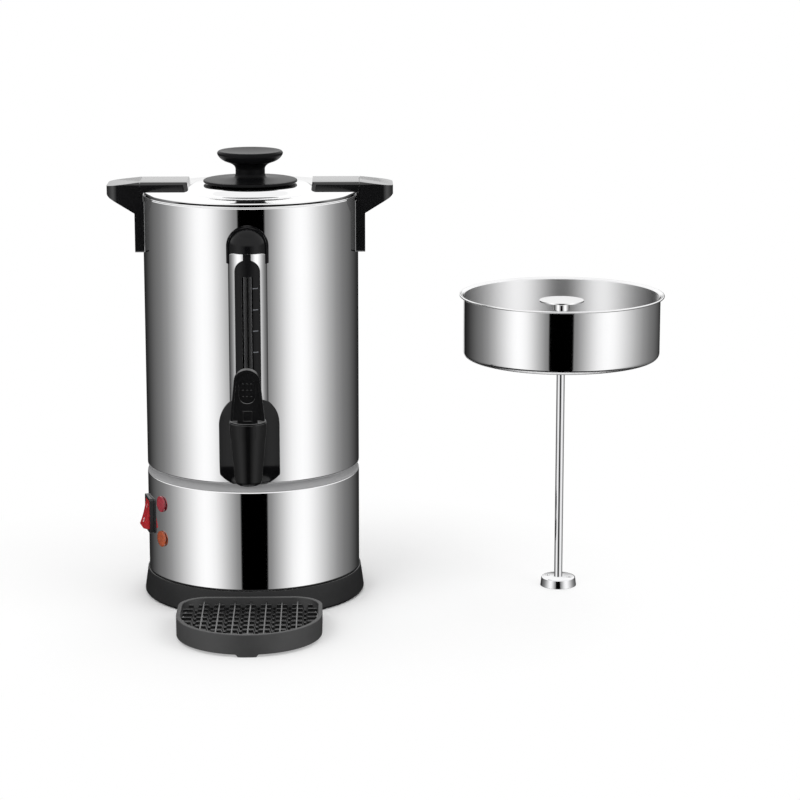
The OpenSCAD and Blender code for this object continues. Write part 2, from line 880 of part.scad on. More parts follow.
module knob() {
    top = z_knob + knob_h;
    color(black) difference() {
        rotate_extrude($fn = 96) difference() {
            union() {
                translate([0, z_knob])
                    square([knob_neck_r, (1 - knob_shares[0][1]) * knob_h + over]);
                polygon(concat(
                    [[0, top - knob_shares[0][1] * knob_h]],
                    [for (p = knob_shares) [p[0] * knob_r, top - p[1] * knob_h]],
                    [[knob_r - knob_round_r, top], [0, top]]
                ));
                translate([knob_r - knob_round_r, top - knob_round_r]) circle(r = knob_round_r);
            }
            translate([0, top + knob_dish_r - knob_dish]) circle(r = knob_dish_r, $fn = 256);
        }
        translate([0, 0, z_knob - over])
            cylinder(r = knob_bore_r, h = z_screw + knob_screw_len + screw_gap - z_knob + over);
    }
}

module knob_flange() {
    color(black) difference() {
        rotate_extrude($fn = 96) {
            polygon(concat(
                [[0, z_flange], [flange_r - flange_edge_h / 2, z_flange],
                 [flange_r - flange_edge_h / 2, z_flange + flange_edge_h]],
                [for (p = flange_shares) [p[0] * flange_r, z_flange + p[1] * flange_h]],
                [[knob_neck_r, z_knob], [0, z_knob]]
            ));
            translate([flange_r - flange_edge_h / 2, z_flange + flange_edge_h / 2])
                circle(r = flange_edge_h / 2);
        }
        translate([0, 0, z_flange - over])
            cylinder(r = knob_bore_r + screw_gap, h = flange_h + 2 * over);
    }
}

module knob_screw() {
    color(bright) {
        translate([0, 0, z_screw]) {
            cylinder(r = knob_washer_r, h = knob_washer_t);
            cylinder(r = knob_bore_r, h = knob_screw_len);
            translate([0, 0, -screw_head_h]) cylinder(r = 2 * knob_bore_r, h = screw_head_h);
        }
    }
}

// Handles

module handle() {
    difference() {
        intersection() {
            plate_y(-handle_w / 2, handle_w / 2) polygon([
                [inner_r, z_leg], [body_r + leg_t, z_leg], [body_r + leg_t, z_flank],
                [grip_end - edge_r, z_tip], [grip_end, z_tip + edge_r],
                [grip_end, z_tip + grip_tip_h], [grip_in, z_ear], [grip_in, z_notch],
                [inner_r, z_notch]
            ]);
            translate([inner_r, 0, z_leg]) linear_extrude(height = z_ear - z_leg) {
                translate([0, -handle_w / 2]) square([grip_end - tip_r - inner_r, handle_w]);
                translate([grip_end - inner_r - handle_w / 2, 0])
                    rounded_square(handle_w, handle_w, tip_r);
            }
            translate([inner_r, 0, (z_leg + z_ear) / 2]) rotate([90, 0, 90])
                linear_extrude(height = grip_end - inner_r)
                    rounded_square(handle_w, z_ear - z_leg, edge_r);
        }
        body_core(z_leg - over, z_ear + over);
        for (z = [handle_screw_low, handle_screw_high]) translate([0, 0, z_leg + z])
            rod_x(handle_screw_r, inner_r, inner_r + handle_screw_len);
    }
}

module handle_right() { color(black) handle(); }

module handle_left() { color(black) mirror([1, 0, 0]) handle(); }

module handle_screws() {
    color(bright) for (s = [0, 1], z = [handle_screw_low, handle_screw_high])
        mirror([s, 0, 0]) translate([0, 0, z_leg + z]) {
            rod_x(handle_screw_r, screw_head_x, inner_r + handle_screw_len);
            rod_x(2 * handle_screw_r, screw_head_x - screw_head_h, screw_head_x);
        }
}

// Sight gauge

// A half-round body with a round top, standing on the front of the vessel
module capsule(r, z0, z1) {
    translate([0, channel_y, z0]) cylinder(r = r, h = z1 - r - z0);
    translate([0, channel_y, z1 - r]) sphere(r = r);
}

// Outline of the panel seen from the front, with its bridge to the cap
module panel_outline(w, bridge, top) {
    translate([-w / 2, z_arch]) square([w, top - w / 2 - z_arch]);
    translate([0, top - w / 2]) circle(r = w / 2);
    translate([-bridge / 2, top - w / 2]) square([bridge, w]);
}

module plate_outline(inset) {
    translate([0, z_arch]) circle(r = plate_w / 2 - inset);
    translate([-plate_w / 2 + inset, z_plate + plate_corner_r])
        square([plate_w - 2 * inset, z_arch - z_plate - plate_corner_r]);
    translate([-plate_w / 2 + plate_corner_r, z_plate + inset])
        square([plate_w - 2 * plate_corner_r, z_arch - z_plate]);
    for (s = [-1, 1])
        translate([s * (plate_w / 2 - plate_corner_r), z_plate + plate_corner_r])
            circle(r = plate_corner_r - inset);
}

// Room for the clear tube
module tube_hole(z0, z1) {
    translate([0, tube_y, z0]) cylinder(r = tube_d / 2 + skin_gap, h = z1 - z0);
}

// Everything that stands behind the back plate's outline
module behind_plate() {
    plate_y(-2 * body_r, 0) plate_outline(-skin_gap);
}

// Outline of what lies below the cap's curved lower edge
module below_cap(gap) {
    half = channel_r + cap_over;
    translate([0, z_channel - gap - half]) rounded_square(2 * half, 2 * half, cap_fall);
    translate([-half, z_arch]) square([2 * half, z_channel - half - z_arch]);
}

module gauge_channel() {
    color(bright) intersection() {
        difference() {
            capsule(channel_r, z_arch, z_cap);
            capsule(channel_r - channel_t, z_arch - over, z_cap);
            body_core(z_arch - over, z_rim);
            plate_y(-2 * body_r, channel_y)
                panel_outline(panel_w + 2 * panel_gap, bridge_w + 2 * panel_gap,
                              z_panel + panel_gap);
            tube_hole(z_arch, z_cap);
            behind_plate();
        }
        plate_y(-2 * body_r, 0) below_cap(panel_gap);
    }
}

module gauge_panel() {
    r = channel_r - channel_t - panel_gap;
    color(black) difference() {
        intersection() {
            difference() {
                capsule(r, z_arch, z_cap);
                capsule(r - panel_t, z_arch - over, z_cap);
            }
            plate_y(-2 * body_r, channel_y) intersection() {
                panel_outline(panel_w, bridge_w, z_panel);
                below_cap(panel_gap);
            }
        }
        body_core(z_arch - over, z_rim);
        plate_y(-2 * body_r, 0) translate([-window_w / 2, z_arch])
            square([window_w, z_window - z_arch]);
        tube_hole(z_arch, z_cap);
        behind_plate();
    }
}

module gauge_marks() {
    r = channel_r - channel_t - panel_gap;
    color("white") for (i = [0 : mark_count - 1]) intersection() {
        translate([0, channel_y, z_window - mark_first - i * mark_step]) difference() {
            cylinder(r = r + mark_out, h = mark_t);
            translate([0, 0, -over]) cylinder(r = r, h = mark_t + 2 * over);
        }
        plate_y(-2 * body_r, channel_y)
            translate([window_w / 2, z_arch]) square([mark_w, z_window - z_arch]);
    }
}

module gauge_cap() {
    color(black) difference() {
        union() {
            difference() {
                capsule(channel_r, z_channel - channel_r, z_cap - cap_over);
                plate_y(-2 * body_r, 0) below_cap(0);
            }
            difference() {
                intersection() {
                    capsule(cap_r, z_channel - horn_drop, z_cap);
                    plate_y(-body_r - cap_rim_out, 0) translate([0, z_channel])
                        square([2 * cap_r, 2 * cap_h], center = true);
                }
                intersection() {
                    capsule(channel_r + skin_gap, z_arch, z_cap);
                    plate_y(-2 * body_r, 0) below_cap(0);
                }
            }
        }
        body_core(z_arch, z_rim);
        translate([0, tube_y, z_arch])
            cylinder(r = tube_boss_r - boss_wall, h = z_tube_top - z_arch + skin_gap);
        translate([0, 0, z_cap_screw]) rod_y(cap_screw_r, -body_r - cap_screw_len, 0);
    }
}

module gauge_cap_screw() {
    color(bright) translate([0, 0, z_cap_screw]) {
        rod_y(cap_screw_r, -body_r - cap_screw_len, -screw_head_x);
        rod_y(2 * cap_screw_r, -screw_head_x, -screw_head_x + screw_head_h);
    }
}

module sight_tube() {
    color("lightblue", 0.5) translate([0, tube_y, z_socket]) difference() {
        cylinder(r = tube_d / 2, h = z_tube_top - z_socket);
        translate([0, 0, -over]) cylinder(r = tube_bore_d / 2, h = z_tube_top - z_socket + 2 * over);
    }
}

module tube_seals() {
    color("dimgray") for (z = [z_socket, z_tube_top - seal_h])
        translate([0, tube_y, z]) difference() {
            cylinder(r = tube_boss_r - boss_wall, h = seal_h);
            translate([0, 0, -over]) cylinder(r = tube_d / 2, h = seal_h + 2 * over);
        }
}

// Tap

// The back plate's domed body, thinner all over by a skin
module plate_dome(skin) {
    intersection() {
        plate_y(-2 * body_r, -body_r / 2) plate_outline(skin);
        translate([0, plate_axis_y, 0]) {
            translate([0, 0, z_plate_low])
                cylinder(r = plate_curve_r - skin, h = z_arch - z_plate_low);
            for (z = [z_plate_low, z_arch]) translate([0, 0, z])
                sphere(r = plate_curve_r - skin);
        }
    }
}

module tap_back_plate() {
    color(black) difference() {
        plate_dome(0);
        plate_dome(plate_t);
        body_core(z_plate - over, z_rim);
        translate([0, 0, tap_z]) rod_y(shank_r + skin_gap, spout_y, -body_r / 2);
        tube_hole(z_socket, z_cap);
    }
}

module cup_profile() {
    polygon([
        [0, z_spout], [nozzle_r, z_spout],
        [cup_foot_r, z_spout + nozzle_round], [cup_r + collar_skin, z_collar],
        [cup_r - collar_wall, z_collar], [cup_r - collar_wall, z_web], [0, z_web]
    ]);
    translate([nozzle_r, z_spout + nozzle_round]) circle(r = nozzle_round);
}

module tap_body() {
    color(black) difference() {
        union() {
            translate([0, spout_y, 0]) rotate_extrude() cup_profile();
            translate([0, 0, tap_z]) {
                rod_y(shank_r, spout_y + chamber_r, -body_r + shank_in);
                rod_y(shank_flange_r, flange_y - shank_flange_t, flange_y);
            }
            difference() {
                translate([0, tube_y, tap_z]) cylinder(r = tube_boss_r, h = z_boss - tap_z);
                body_core(tap_z - shank_r, z_rim);
                translate([0, 0, tap_z]) rod_y(shank_r - over, -body_r - over, 0);
            }
        }
        translate([0, spout_y, 0]) {
            translate([0, 0, z_spout - over])
                cylinder(r = nozzle_bore_r, h = z_valve - z_spout + 2 * over);
            translate([0, 0, z_valve]) cylinder(r = chamber_r, h = z_web - z_valve + over);
        }
        translate([0, 0, tap_z]) rod_y(shank_bore_r, spout_y, -body_r + shank_in + over);
        translate([0, tube_y, tap_z]) cylinder(r = tube_bore_d / 2, h = z_boss - tap_z + over);
        translate([0, tube_y, z_socket])
            cylinder(r = tube_boss_r - boss_wall, h = z_boss - z_socket + over);
    }
}

module tap_gaskets() {
    color("dimgray") translate([0, 0, tap_z]) difference() {
        union() {
            difference() {
                rod_y(shank_flange_r, flange_y, -body_r / 2);
                translate([0, 0, -tap_z]) body_core(0, z_rim);
                translate([0, tube_y, 0]) cylinder(r = tube_boss_r + skin_gap, h = tube_boss_h);
            }
            rod_y(tap_nut_r, -washer_y, -washer_y + gasket_t);
        }
        rod_y(shank_r + run_gap, flange_y - over, 0);
    }
}

module tap_nut() {
    color(bright) translate([0, -washer_y + gasket_t, tap_z]) rotate([-90, 0, 0])
        difference() {
            cylinder(r = tap_nut_r, h = tap_nut_h, $fn = 6);
            translate([0, 0, -over]) cylinder(r = shank_r + run_gap, h = tap_nut_h + 2 * over);
        }
}

module tap_collar() {
    color(black) translate([0, spout_y, 0]) difference() {
        union() {
            translate([0, 0, z_collar]) cylinder(r = collar_r - collar_skin, h = collar_h);
            translate([0, 0, z_collar + collar_band]) difference() {
                cylinder(r = collar_r, h = collar_h - 2 * collar_band);
                for (i = [0 : collar_notch_count - 1])
                    rotate(i * 360 / collar_notch_count + collar_notch_turn)
                        translate([-collar_notch_w / 2, -collar_r - over, -over])
                            cube([collar_notch_w, collar_skin + over, collar_h]);
            }
        }
        translate([0, 0, z_web + web_t]) cylinder(r = cup_r, h = collar_h);
        translate([0, 0, z_collar - over])
            cylinder(r = cup_r - collar_wall + run_gap, h = z_web - z_collar + over);
        translate([0, 0, z_web - over]) cylinder(r = rod_r + run_gap, h = web_t + 2 * over);
        translate([0, -lever_axis_out, lever_z]) rod_x(lever_pin_r, -collar_r, collar_r);
    }
}

module lever_outline(inset) {
    low = lever_low_w / 2 - inset;
    top = lever_top_w / 2 - inset;
    z_round = lever_h - lever_top_w / 2;
    polygon([[-low, lever_lift], [low, lever_lift], [top, z_round], [-top, z_round]]);
    translate([0, z_round]) circle(r = top);
}

module tap_lever() {
    front = -lever_t / 2;
    color(black) translate([0, lever_y, 0]) difference() {
        union() {
            translate([0, 0, z_collar_top]) rotate([lever_lean, 0, 0]) {
                difference() {
                    plate_y(front - lever_rail_out, -front) lever_outline(0);
                    plate_y(front - lever_rail_out - over, front) lever_outline(lever_rail_w);
                    translate([0, 0, thumb_z]) plate_y(front - over, front + thumb_depth)
                        rounded_square(thumb_w, thumb_h, thumb_w / 2 - skin_gap);
                }
                translate([0, 0, thumb_z]) for (x = [-1, 0, 1], z = [-1, 0, 1])
                    translate([x * thumb_w / 4, 0, z * thumb_h / 4])
                        rod_y(grip_dot_r, front + thumb_depth / 2, front + 2 * thumb_depth);
                translate([0, 0, latch_z]) difference() {
                    plate_y(front - latch_line, -front) square([latch_w, latch_h], center = true);
                    plate_y(front - latch_line - over, front)
                        square([latch_w - 2 * latch_line, latch_h - 2 * latch_line],
                               center = true);
                }
            }
            translate([0, 0, lever_z]) rod_x(lever_hub_r, -lever_base_w / 2, lever_base_w / 2);
            translate([-lever_base_w / 2, front, lever_z])
                cube([lever_base_w, lever_t, z_collar_top - lever_z + 2 * lever_lift]);
            translate([-fork_w / 2, 0, z_fork - fork_t])
                cube([fork_w, lever_axis_out + rod_head_r + fork_t / 4, fork_t]);
        }
        translate([-rod_r - 2 * skin_gap, lever_axis_out - rod_r - fork_t / 2, z_fork - 2 * fork_t])
            cube([2 * rod_r + 4 * skin_gap, 2 * lever_axis_out, 3 * fork_t]);
        translate([0, 0, lever_z]) rod_x(lever_pin_r + run_gap, -collar_r, collar_r);
    }
}

module lever_pin() {
    half = sqrt(collar_r * collar_r - pow(lever_axis_out + lever_pin_r, 2)) - collar_skin;
    color(bright) translate([0, lever_y, lever_z]) rod_x(lever_pin_r, -half, half);
}

module valve_plunger() {
    color("white") translate([0, spout_y, 0]) {
        translate([0, 0, z_valve]) cylinder(r1 = seat_cup_r - fork_t / 2, r2 = seat_cup_r,
                                            h = seat_cup_h);
        translate([0, 0, z_valve + seat_cup_h])
            cylinder(r = rod_r, h = z_fork + run_gap + rod_head_h - z_valve - seat_cup_h);
        translate([0, 0, z_fork + run_gap]) cylinder(r = rod_head_r, h = rod_head_h);
    }
}

// Points of one ring of the return spring's wire, at a turn
function spring_ring(t, z0, rise) = [for (k = [0 : spring_sides - 1])
    let (a = 360 * t, b = 360 * k / spring_sides, d = spring_r + spring_wire_r * cos(b))
    [d * cos(a), d * sin(a), z0 + rise * t + spring_wire_r * sin(b)]];

module tap_spring() {
    z0 = z_valve + seat_cup_h + spring_wire_r + run_gap;
    rise = (z_web - spring_wire_r - run_gap - z0) / spring_turns;
    rings = spring_turns * spring_steps;
    n = spring_sides;
    points = [for (i = [0 : rings], p = spring_ring(i / spring_steps, z0, rise)) p];
    sides = [for (i = [0 : rings - 1], k = [0 : n - 1])
        let (a = i * n + k, b = i * n + (k + 1) % n)
        each [[a, b, b + n], [a, b + n, a + n]]];
    start = [for (k = [1 : n - 2]) [0, k + 1, k]];
    end = [for (k = [1 : n - 2]) [rings * n, rings * n + k, rings * n + k + 1]];
    color(bright) translate([0, spout_y, 0])
        polyhedron(points = points, faces = concat(sides, start, end));
}

// Switch and pilot lamps

module switch_bezel() {
    color(black) at_angle(switch_angle) translate([0, 0, switch_z]) difference() {
        union() {
            difference() {
                plate_y(-body_r - bezel_out, -body_r / 2)
                    rounded_square(bezel_w, bezel_h, bezel_corner_r);
                translate([0, 0, -switch_z]) body_core(0, z_rim);
            }
            plate_y(-body_r - bezel_out, -body_r - bezel_out + switch_depth)
                square([switch_body_w, switch_body_h], center = true);
        }
        plate_y(-body_r - bezel_out - over, rocker_y + rocker_back + rocker_len / 6)
            square([rocker_hole_w, rocker_hole_h], center = true);
        translate([0, rocker_y, 0])
            rod_x(rocker_pin_r + run_gap, -rocker_pin_half - run_gap, rocker_pin_half + run_gap);
    }
}

module rocker_profile() {
    half = rocker_len / 2;
    front = rocker_axis_drop + rocker_out;
    dish_r = (half * half + rocker_dish * rocker_dish) / rocker_dish / 2;
    difference() {
        polygon([
            [-front, -half * rocker_tip_share], [-front, half * rocker_tip_share],
            [0, half * rocker_side_share], [rocker_back, half * rocker_back_share],
            [rocker_back, -half * rocker_back_share], [0, -half * rocker_side_share]
        ]);
        translate([-front - dish_r + rocker_dish, 0]) circle(r = dish_r, $fn = 128);
    }
}

module switch_rocker() {
    color("red") at_angle(switch_angle) translate([0, rocker_y, switch_z])
        rotate([-rocker_tilt, 0, 0]) {
            translate([-rocker_hole_w / 2 + rocker_gap, 0, 0]) rotate([90, 0, 90])
                linear_extrude(height = rocker_hole_w - 2 * rocker_gap) rocker_profile();
            rod_x(rocker_pin_r, -rocker_pin_half, rocker_pin_half);
        }
}

module lamp(side) {
    at_angle(lamp_angle) translate([0, 0, switch_z + side * lamp_offset]) {
        difference() {
            union() {
                rod_y(lamp_d / 2, -body_r - lens_out + lens_dome, -body_r / 2);
                translate([0, -body_r - lens_out + lens_dome, 0]) rotate([90, 0, 0])
                    rotate_extrude() intersection() {
                        translate([0, lens_dome - lens_ball_r]) circle(r = lens_ball_r, $fn = 128);
                        square([lamp_d / 2, lens_dome]);
                    }
            }
            translate([0, 0, -switch_z - side * lamp_offset]) body_core(0, z_rim);
        }
        rod_y(holder_r - holder_wall - run_gap, -body_r - skin_gap, -body_r + lens_plug);
    }
}

module lamp_red() { color("red") lamp(1); }

module lamp_amber() { color("orange") lamp(-1); }

module lamp_holders() {
    color(black) for (s = [-1, 1])
        at_angle(lamp_angle) translate([0, 0, switch_z + s * lamp_offset]) difference() {
            union() {
                rod_y(holder_r, -body_r, -body_r + holder_len);
                rod_y(holder_ring_r, holder_ring_y, holder_ring_y + holder_ring_t);
            }
            rod_y(holder_r - holder_wall, -body_r - over, -body_r + holder_len - holder_end_t);
        }
}

// Drip tray and grille, drawn with the back edge at Y = 0

module tray_outline(inset) {
    translate([0, tray_front_r - tray_len]) intersection() {
        circle(r = tray_front_r - inset, $fn = 128);
        translate([-tray_front_r, -tray_front_r]) square([tray_w, tray_front_r]);
    }
    translate([-tray_w / 2 + inset, tray_front_r - tray_len])
        square([tray_w - 2 * inset, tray_len - tray_front_r - tray_corner_r]);
    translate([-tray_w / 2 + tray_corner_r, tray_front_r - tray_len])
        square([tray_w - 2 * tray_corner_r, tray_len - tray_front_r - inset]);
    for (s = [-1, 1]) translate([s * (tray_w / 2 - tray_corner_r), -tray_corner_r])
        circle(r = tray_corner_r - inset);
}

module tray_foot() {
    plate_y(-tray_foot_len, tray_foot_len) polygon([
        [-tray_foot_w / 2, tray_lift], [-tray_foot_w / 2 + tray_foot_slope, 0],
        [tray_foot_w / 2 - tray_foot_slope, 0], [tray_foot_w / 2, tray_lift]
    ]);
}

module drip_tray() {
    color(tray_grey) translate([0, tray_y, 0]) {
        difference() {
            translate([0, 0, tray_lift])
                linear_extrude(height = tray_h - tray_lift) tray_outline(0);
            translate([0, 0, tray_lift + tray_floor_t])
                linear_extrude(height = tray_h) tray_outline(tray_rim_w + grille_ledge_w);
            translate([0, 0, z_ledge])
                linear_extrude(height = tray_h - z_ledge + over) tray_outline(tray_rim_w);
        }
        intersection() {
            linear_extrude(height = tray_lift) tray_outline(0);
            union() {
                translate([0, -tray_len, 0]) tray_foot();
                for (s = [-1, 1]) translate([s * (tray_w / 2 - tray_corner_r), 0, 0]) tray_foot();
            }
        }
    }
}

// Points of one edge of a wave rib, at a height
function wave_edge(z) = [for (i = [-rib_side_count - 2 : rib_side_count + 2]) each [
    [(2 * i - 1 + trough_share) * rib_pitch / 2, z - wave_depth],
    [(2 * i - crest_share) * rib_pitch / 2, z],
    [(2 * i + crest_share) * rib_pitch / 2, z],
    [(2 * i + 1 - trough_share) * rib_pitch / 2, z - wave_depth]
]];

// A list in reverse order
function backwards(list) = [for (i = [len(list) - 1 : -1 : 0]) list[i]];

module drip_grille() {
    inset = tray_rim_w + grille_gap;
    color(tray_grey) translate([0, tray_y, 0]) intersection() {
        translate([0, 0, z_ledge]) linear_extrude(height = tray_h) tray_outline(inset);
        union() {
            difference() {
                translate([0, 0, z_ledge])
                    linear_extrude(height = grille_frame_h) tray_outline(inset);
                translate([0, 0, z_ledge - over])
                    linear_extrude(height = grille_frame_h + 2 * over)
                        tray_outline(inset + rib_t);
            }
            for (i = [-rib_side_count : rib_side_count])
                translate([i * rib_pitch - rib_t / 2, -tray_len, z_grille - rib_h])
                    cube([rib_t, tray_len, rib_h]);
            for (j = [0 : wave_count - 1])
                translate([0, -wave_first - j * wave_pitch, 0]) plate_y(-rib_t / 2, rib_t / 2)
                    polygon(concat(wave_edge(z_wave), backwards(wave_edge(z_wave - wave_strip_h))));
        }
    }
}

// Brewing set

module at_brew() {
    translate([brew_x, 0, 0]) children();
}

module basket() {
    color(bright) at_brew() rotate_extrude($fn = 128) {
        translate([strainer_r - strainer_ledge, z_basket]) square([strainer_ledge, sheet_t]);
        translate([strainer_r, z_basket + basket_corner_r]) intersection() {
            difference() {
                circle(r = basket_corner_r);
                circle(r = basket_corner_r - sheet_t);
            }
            translate([0, -basket_corner_r]) square([basket_corner_r, basket_corner_r]);
        }
        translate([basket_r - sheet_t, z_basket + basket_corner_r])
            square([sheet_t, basket_h - basket_corner_r - lip_drop + sheet_t]);
        translate([basket_r - sheet_t, brew_h - lip_drop])
            square([lip_w + sheet_t - lip_bead_r, sheet_t]);
        translate([basket_lip_r - lip_bead_r, brew_h - lip_bead_r]) circle(r = lip_bead_r);
    }
}

module basket_strainer() {
    color(steel) at_brew() translate([0, 0, z_strainer]) linear_extrude(height = strainer_t)
        difference() {
            circle(r = strainer_r - strainer_gap, $fn = 128);
            circle(r = guide_r + strainer_gap);
            for (i = [0 : strainer_ring_count - 1]) {
                ring_r = strainer_ring_first + i * strainer_ring_step;
                count = floor(2 * PI * ring_r / strainer_hole_step);
                for (k = [0 : count - 1]) rotate(k * 360 / count) translate([ring_r, 0])
                    circle(r = strainer_hole_r, $fn = 16);
            }
        }
}

module basket_guide() {
    color(bright) at_brew() difference() {
        union() {
            translate([0, 0, z_guide]) cylinder(r = guide_foot_r, h = guide_foot_t);
            translate([0, 0, z_guide]) cylinder(r = guide_r, h = z_guide_top - z_guide);
        }
        translate([0, 0, z_guide - over])
            cylinder(r = stem_r + guide_gap, h = z_guide_top - z_guide + 2 * over);
    }
}

module spreader_disc() {
    hub_in_r = guide_r + run_gap;
    color(bright) at_brew() difference() {
        union() {
            translate([0, 0, z_spreader]) cylinder(r = spreader_d / 2, h = spreader_t);
            translate([0, 0, z_spreader - spreader_hub_h])
                cylinder(r = hub_in_r + spreader_hub_t, h = spreader_hub_h);
        }
        translate([0, 0, z_spreader - spreader_hub_h - over])
            cylinder(r = hub_in_r, h = spreader_hub_h - spreader_seat + over);
        translate([0, 0, z_guide_top - over])
            cylinder(r = guide_r - guide_t / 2, h = spreader_seat + over);
        for (a = [0, 90]) rotate(a)
            translate([-spreader_d / 2, -spreader_window_w / 2, z_spreader - spreader_lip_h])
                cube([spreader_d, spreader_window_w, spreader_lip_h]);
    }
}

module pump_stem() {
    z_top = z_spreader - stem_top_gap;
    color(bright) at_brew() difference() {
        translate([0, 0, z_stem]) cylinder(r = stem_r, h = z_top - z_stem);
        translate([0, 0, z_stem - over]) cylinder(r = stem_bore_r, h = z_top - z_stem + 2 * over);
    }
}

module stem_stop() {
    color(bright) at_brew() translate([0, 0, z_guide - stop_h]) difference() {
        cylinder(r = stop_r, h = stop_h);
        translate([0, 0, -over]) cylinder(r = stem_r, h = stop_h + 2 * over);
    }
}

module stem_foot() {
    r = stem_foot_d / 2;
    color(bright) at_brew() difference() {
        rotate_extrude($fn = 96) {
            polygon([
                [0, 0], [r, 0], [r - foot_draft, stem_foot_h - foot_edge_r],
                [r - foot_draft - foot_edge_r, stem_foot_h], [0, stem_foot_h]
            ]);
            translate([r - foot_draft - foot_edge_r, stem_foot_h - foot_edge_r])
                circle(r = foot_edge_r);
        }
        translate([0, 0, -over]) cylinder(r = flap_hole_r, h = foot_floor_t + 2 * over);
        translate([0, 0, foot_floor_t]) cylinder(r = foot_chamber_r, h = foot_chamber_h);
        translate([0, 0, foot_floor_t]) cylinder(r = stem_bore_r, h = stem_foot_h);
        translate([0, 0, z_stem]) cylinder(r = stem_r, h = stem_foot_h);
        for (a = [0, 180]) rotate(foot_hole_angle + a)
            translate([foot_hole_ring_r, 0, -over])
                cylinder(r = foot_hole_r, h = stem_foot_h + 2 * over);
    }
}

module flap_valve() {
    color("dimgray") at_brew() translate([0, 0, foot_floor_t]) cylinder(r = flap_r, h = flap_t);
}

vessel();
vessel_floor();
lower_shell();
base_skirt();
bottom_cover();
cover_screws();
rubber_feet();
heater_plate();
heating_element();
heater_bracket();
bracket_nut();
boil_thermostat();
warm_thermostat();
thermal_fuse();
terminal_block();
power_inlet();
lid();
lid_ear_left();
lid_ear_right();
ear_screws();
knob();
knob_flange();
knob_screw();
handle_left();
handle_right();
handle_screws();
gauge_channel();
gauge_panel();
gauge_marks();
gauge_cap();
gauge_cap_screw();
sight_tube();
tube_seals();
tap_back_plate();
tap_body();
tap_collar();
tap_lever();
lever_pin();
valve_plunger();
tap_spring();
tap_gaskets();
tap_nut();
switch_bezel();
switch_rocker();
lamp_red();
lamp_amber();
lamp_holders();
drip_tray();
drip_grille();
basket();
basket_strainer();
basket_guide();
spreader_disc();
pump_stem();
stem_stop();
stem_foot();
flap_valve();
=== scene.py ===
"""Percolator coffee urn with its brewing set: looks, studio and camera."""
import json
from math import acos, atan2, cos, pi, radians, sin, tan, tau

import bmesh
import bpy
from mathutils import Matrix, Vector

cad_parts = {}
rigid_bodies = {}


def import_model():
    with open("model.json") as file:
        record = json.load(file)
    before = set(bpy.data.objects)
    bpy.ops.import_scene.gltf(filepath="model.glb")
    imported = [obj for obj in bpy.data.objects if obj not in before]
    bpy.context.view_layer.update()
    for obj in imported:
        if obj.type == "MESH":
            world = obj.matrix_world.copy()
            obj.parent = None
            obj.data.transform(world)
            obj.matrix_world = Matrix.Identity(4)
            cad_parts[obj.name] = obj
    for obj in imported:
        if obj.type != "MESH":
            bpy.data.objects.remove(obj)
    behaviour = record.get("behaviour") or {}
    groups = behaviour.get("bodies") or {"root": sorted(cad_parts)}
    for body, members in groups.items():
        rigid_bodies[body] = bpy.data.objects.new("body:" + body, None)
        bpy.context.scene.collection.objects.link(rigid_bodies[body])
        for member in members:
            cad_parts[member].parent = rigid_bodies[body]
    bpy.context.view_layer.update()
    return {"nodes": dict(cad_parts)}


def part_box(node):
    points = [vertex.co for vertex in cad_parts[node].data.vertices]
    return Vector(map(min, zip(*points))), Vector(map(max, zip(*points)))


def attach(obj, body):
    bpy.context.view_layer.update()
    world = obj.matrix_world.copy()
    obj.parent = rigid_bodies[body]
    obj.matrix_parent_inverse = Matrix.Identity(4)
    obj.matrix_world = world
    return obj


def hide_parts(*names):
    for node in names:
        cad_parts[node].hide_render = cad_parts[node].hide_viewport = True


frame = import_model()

MM = 0.001
WELD = 0.000002
scene = bpy.context.scene

# Facets round the body, the lid and the basket

AROUND = 192

# Angles in degrees: above SHARP an edge is shaded sharp, and above CAD_SHARP it is rounded, or
# shaded sharp on a CAD copy, whose faces are joined where they differ by less than CAD_FLAT

SHARP = 32
CAD_SHARP = 30
CAD_FLAT = 0.6

# Sizes that several pieces share, in millimetres

BODY_R = 110
WALL = 1
BAND_Z = 421.5
DOME_Z = 427.3
FLANGE_Z = 428.9
KNOB_Z = 433.9
KNOB_TOP = 461.4
SWITCH_Z = 87
LAMP_RISE = 18.4
TRAY_Y = -115
TRAY_HALF, TRAY_LEN, TRAY_CORNER, TRAY_INSET = 72.3, 133, 30, 4.8
GRILLE_Z = 19
BASKET_R = 101.8
BREW = (320, 0)
TUBE = (0, -116.2)

# Turns about the body's axis, and the rocker's tilt

SWITCH_TURN = radians(-76)
LAMP_TURN = radians(-57)
ROCKER_TILT = radians(14)


# Outlines

def arc(x, z, r, start, end, steps=8):
    """Points on an arc about (x, z); the angles are in degrees."""
    turn = [radians(start + (end - start) * k / steps) for k in range(steps + 1)]
    return [(x + r * cos(a), z + r * sin(a)) for a in turn]


def rounded(corners, steps=5):
    """A closed outline; each corner is (x, z) or (x, z, fillet radius)."""
    outline = []
    for i, corner in enumerate(corners):
        here = Vector(corner[:2])
        if len(corner) < 3:
            outline.append(tuple(here))
            continue
        back = (Vector(corners[i - 1][:2]) - here).normalized()
        on = (Vector(corners[(i + 1) % len(corners)][:2]) - here).normalized()
        half = acos(max(-1, min(1, back.dot(on)))) / 2
        centre = here + (back + on).normalized() * corner[2] / sin(half)
        start = here + back * corner[2] / tan(half) - centre
        end = here + on * corner[2] / tan(half) - centre
        first = atan2(start.y, start.x)
        swing = (atan2(end.y, end.x) - first + pi) % tau - pi
        outline += [(centre.x + corner[2] * cos(first + swing * k / steps),
                     centre.y + corner[2] * sin(first + swing * k / steps))
                    for k in range(steps + 1)]
    return outline


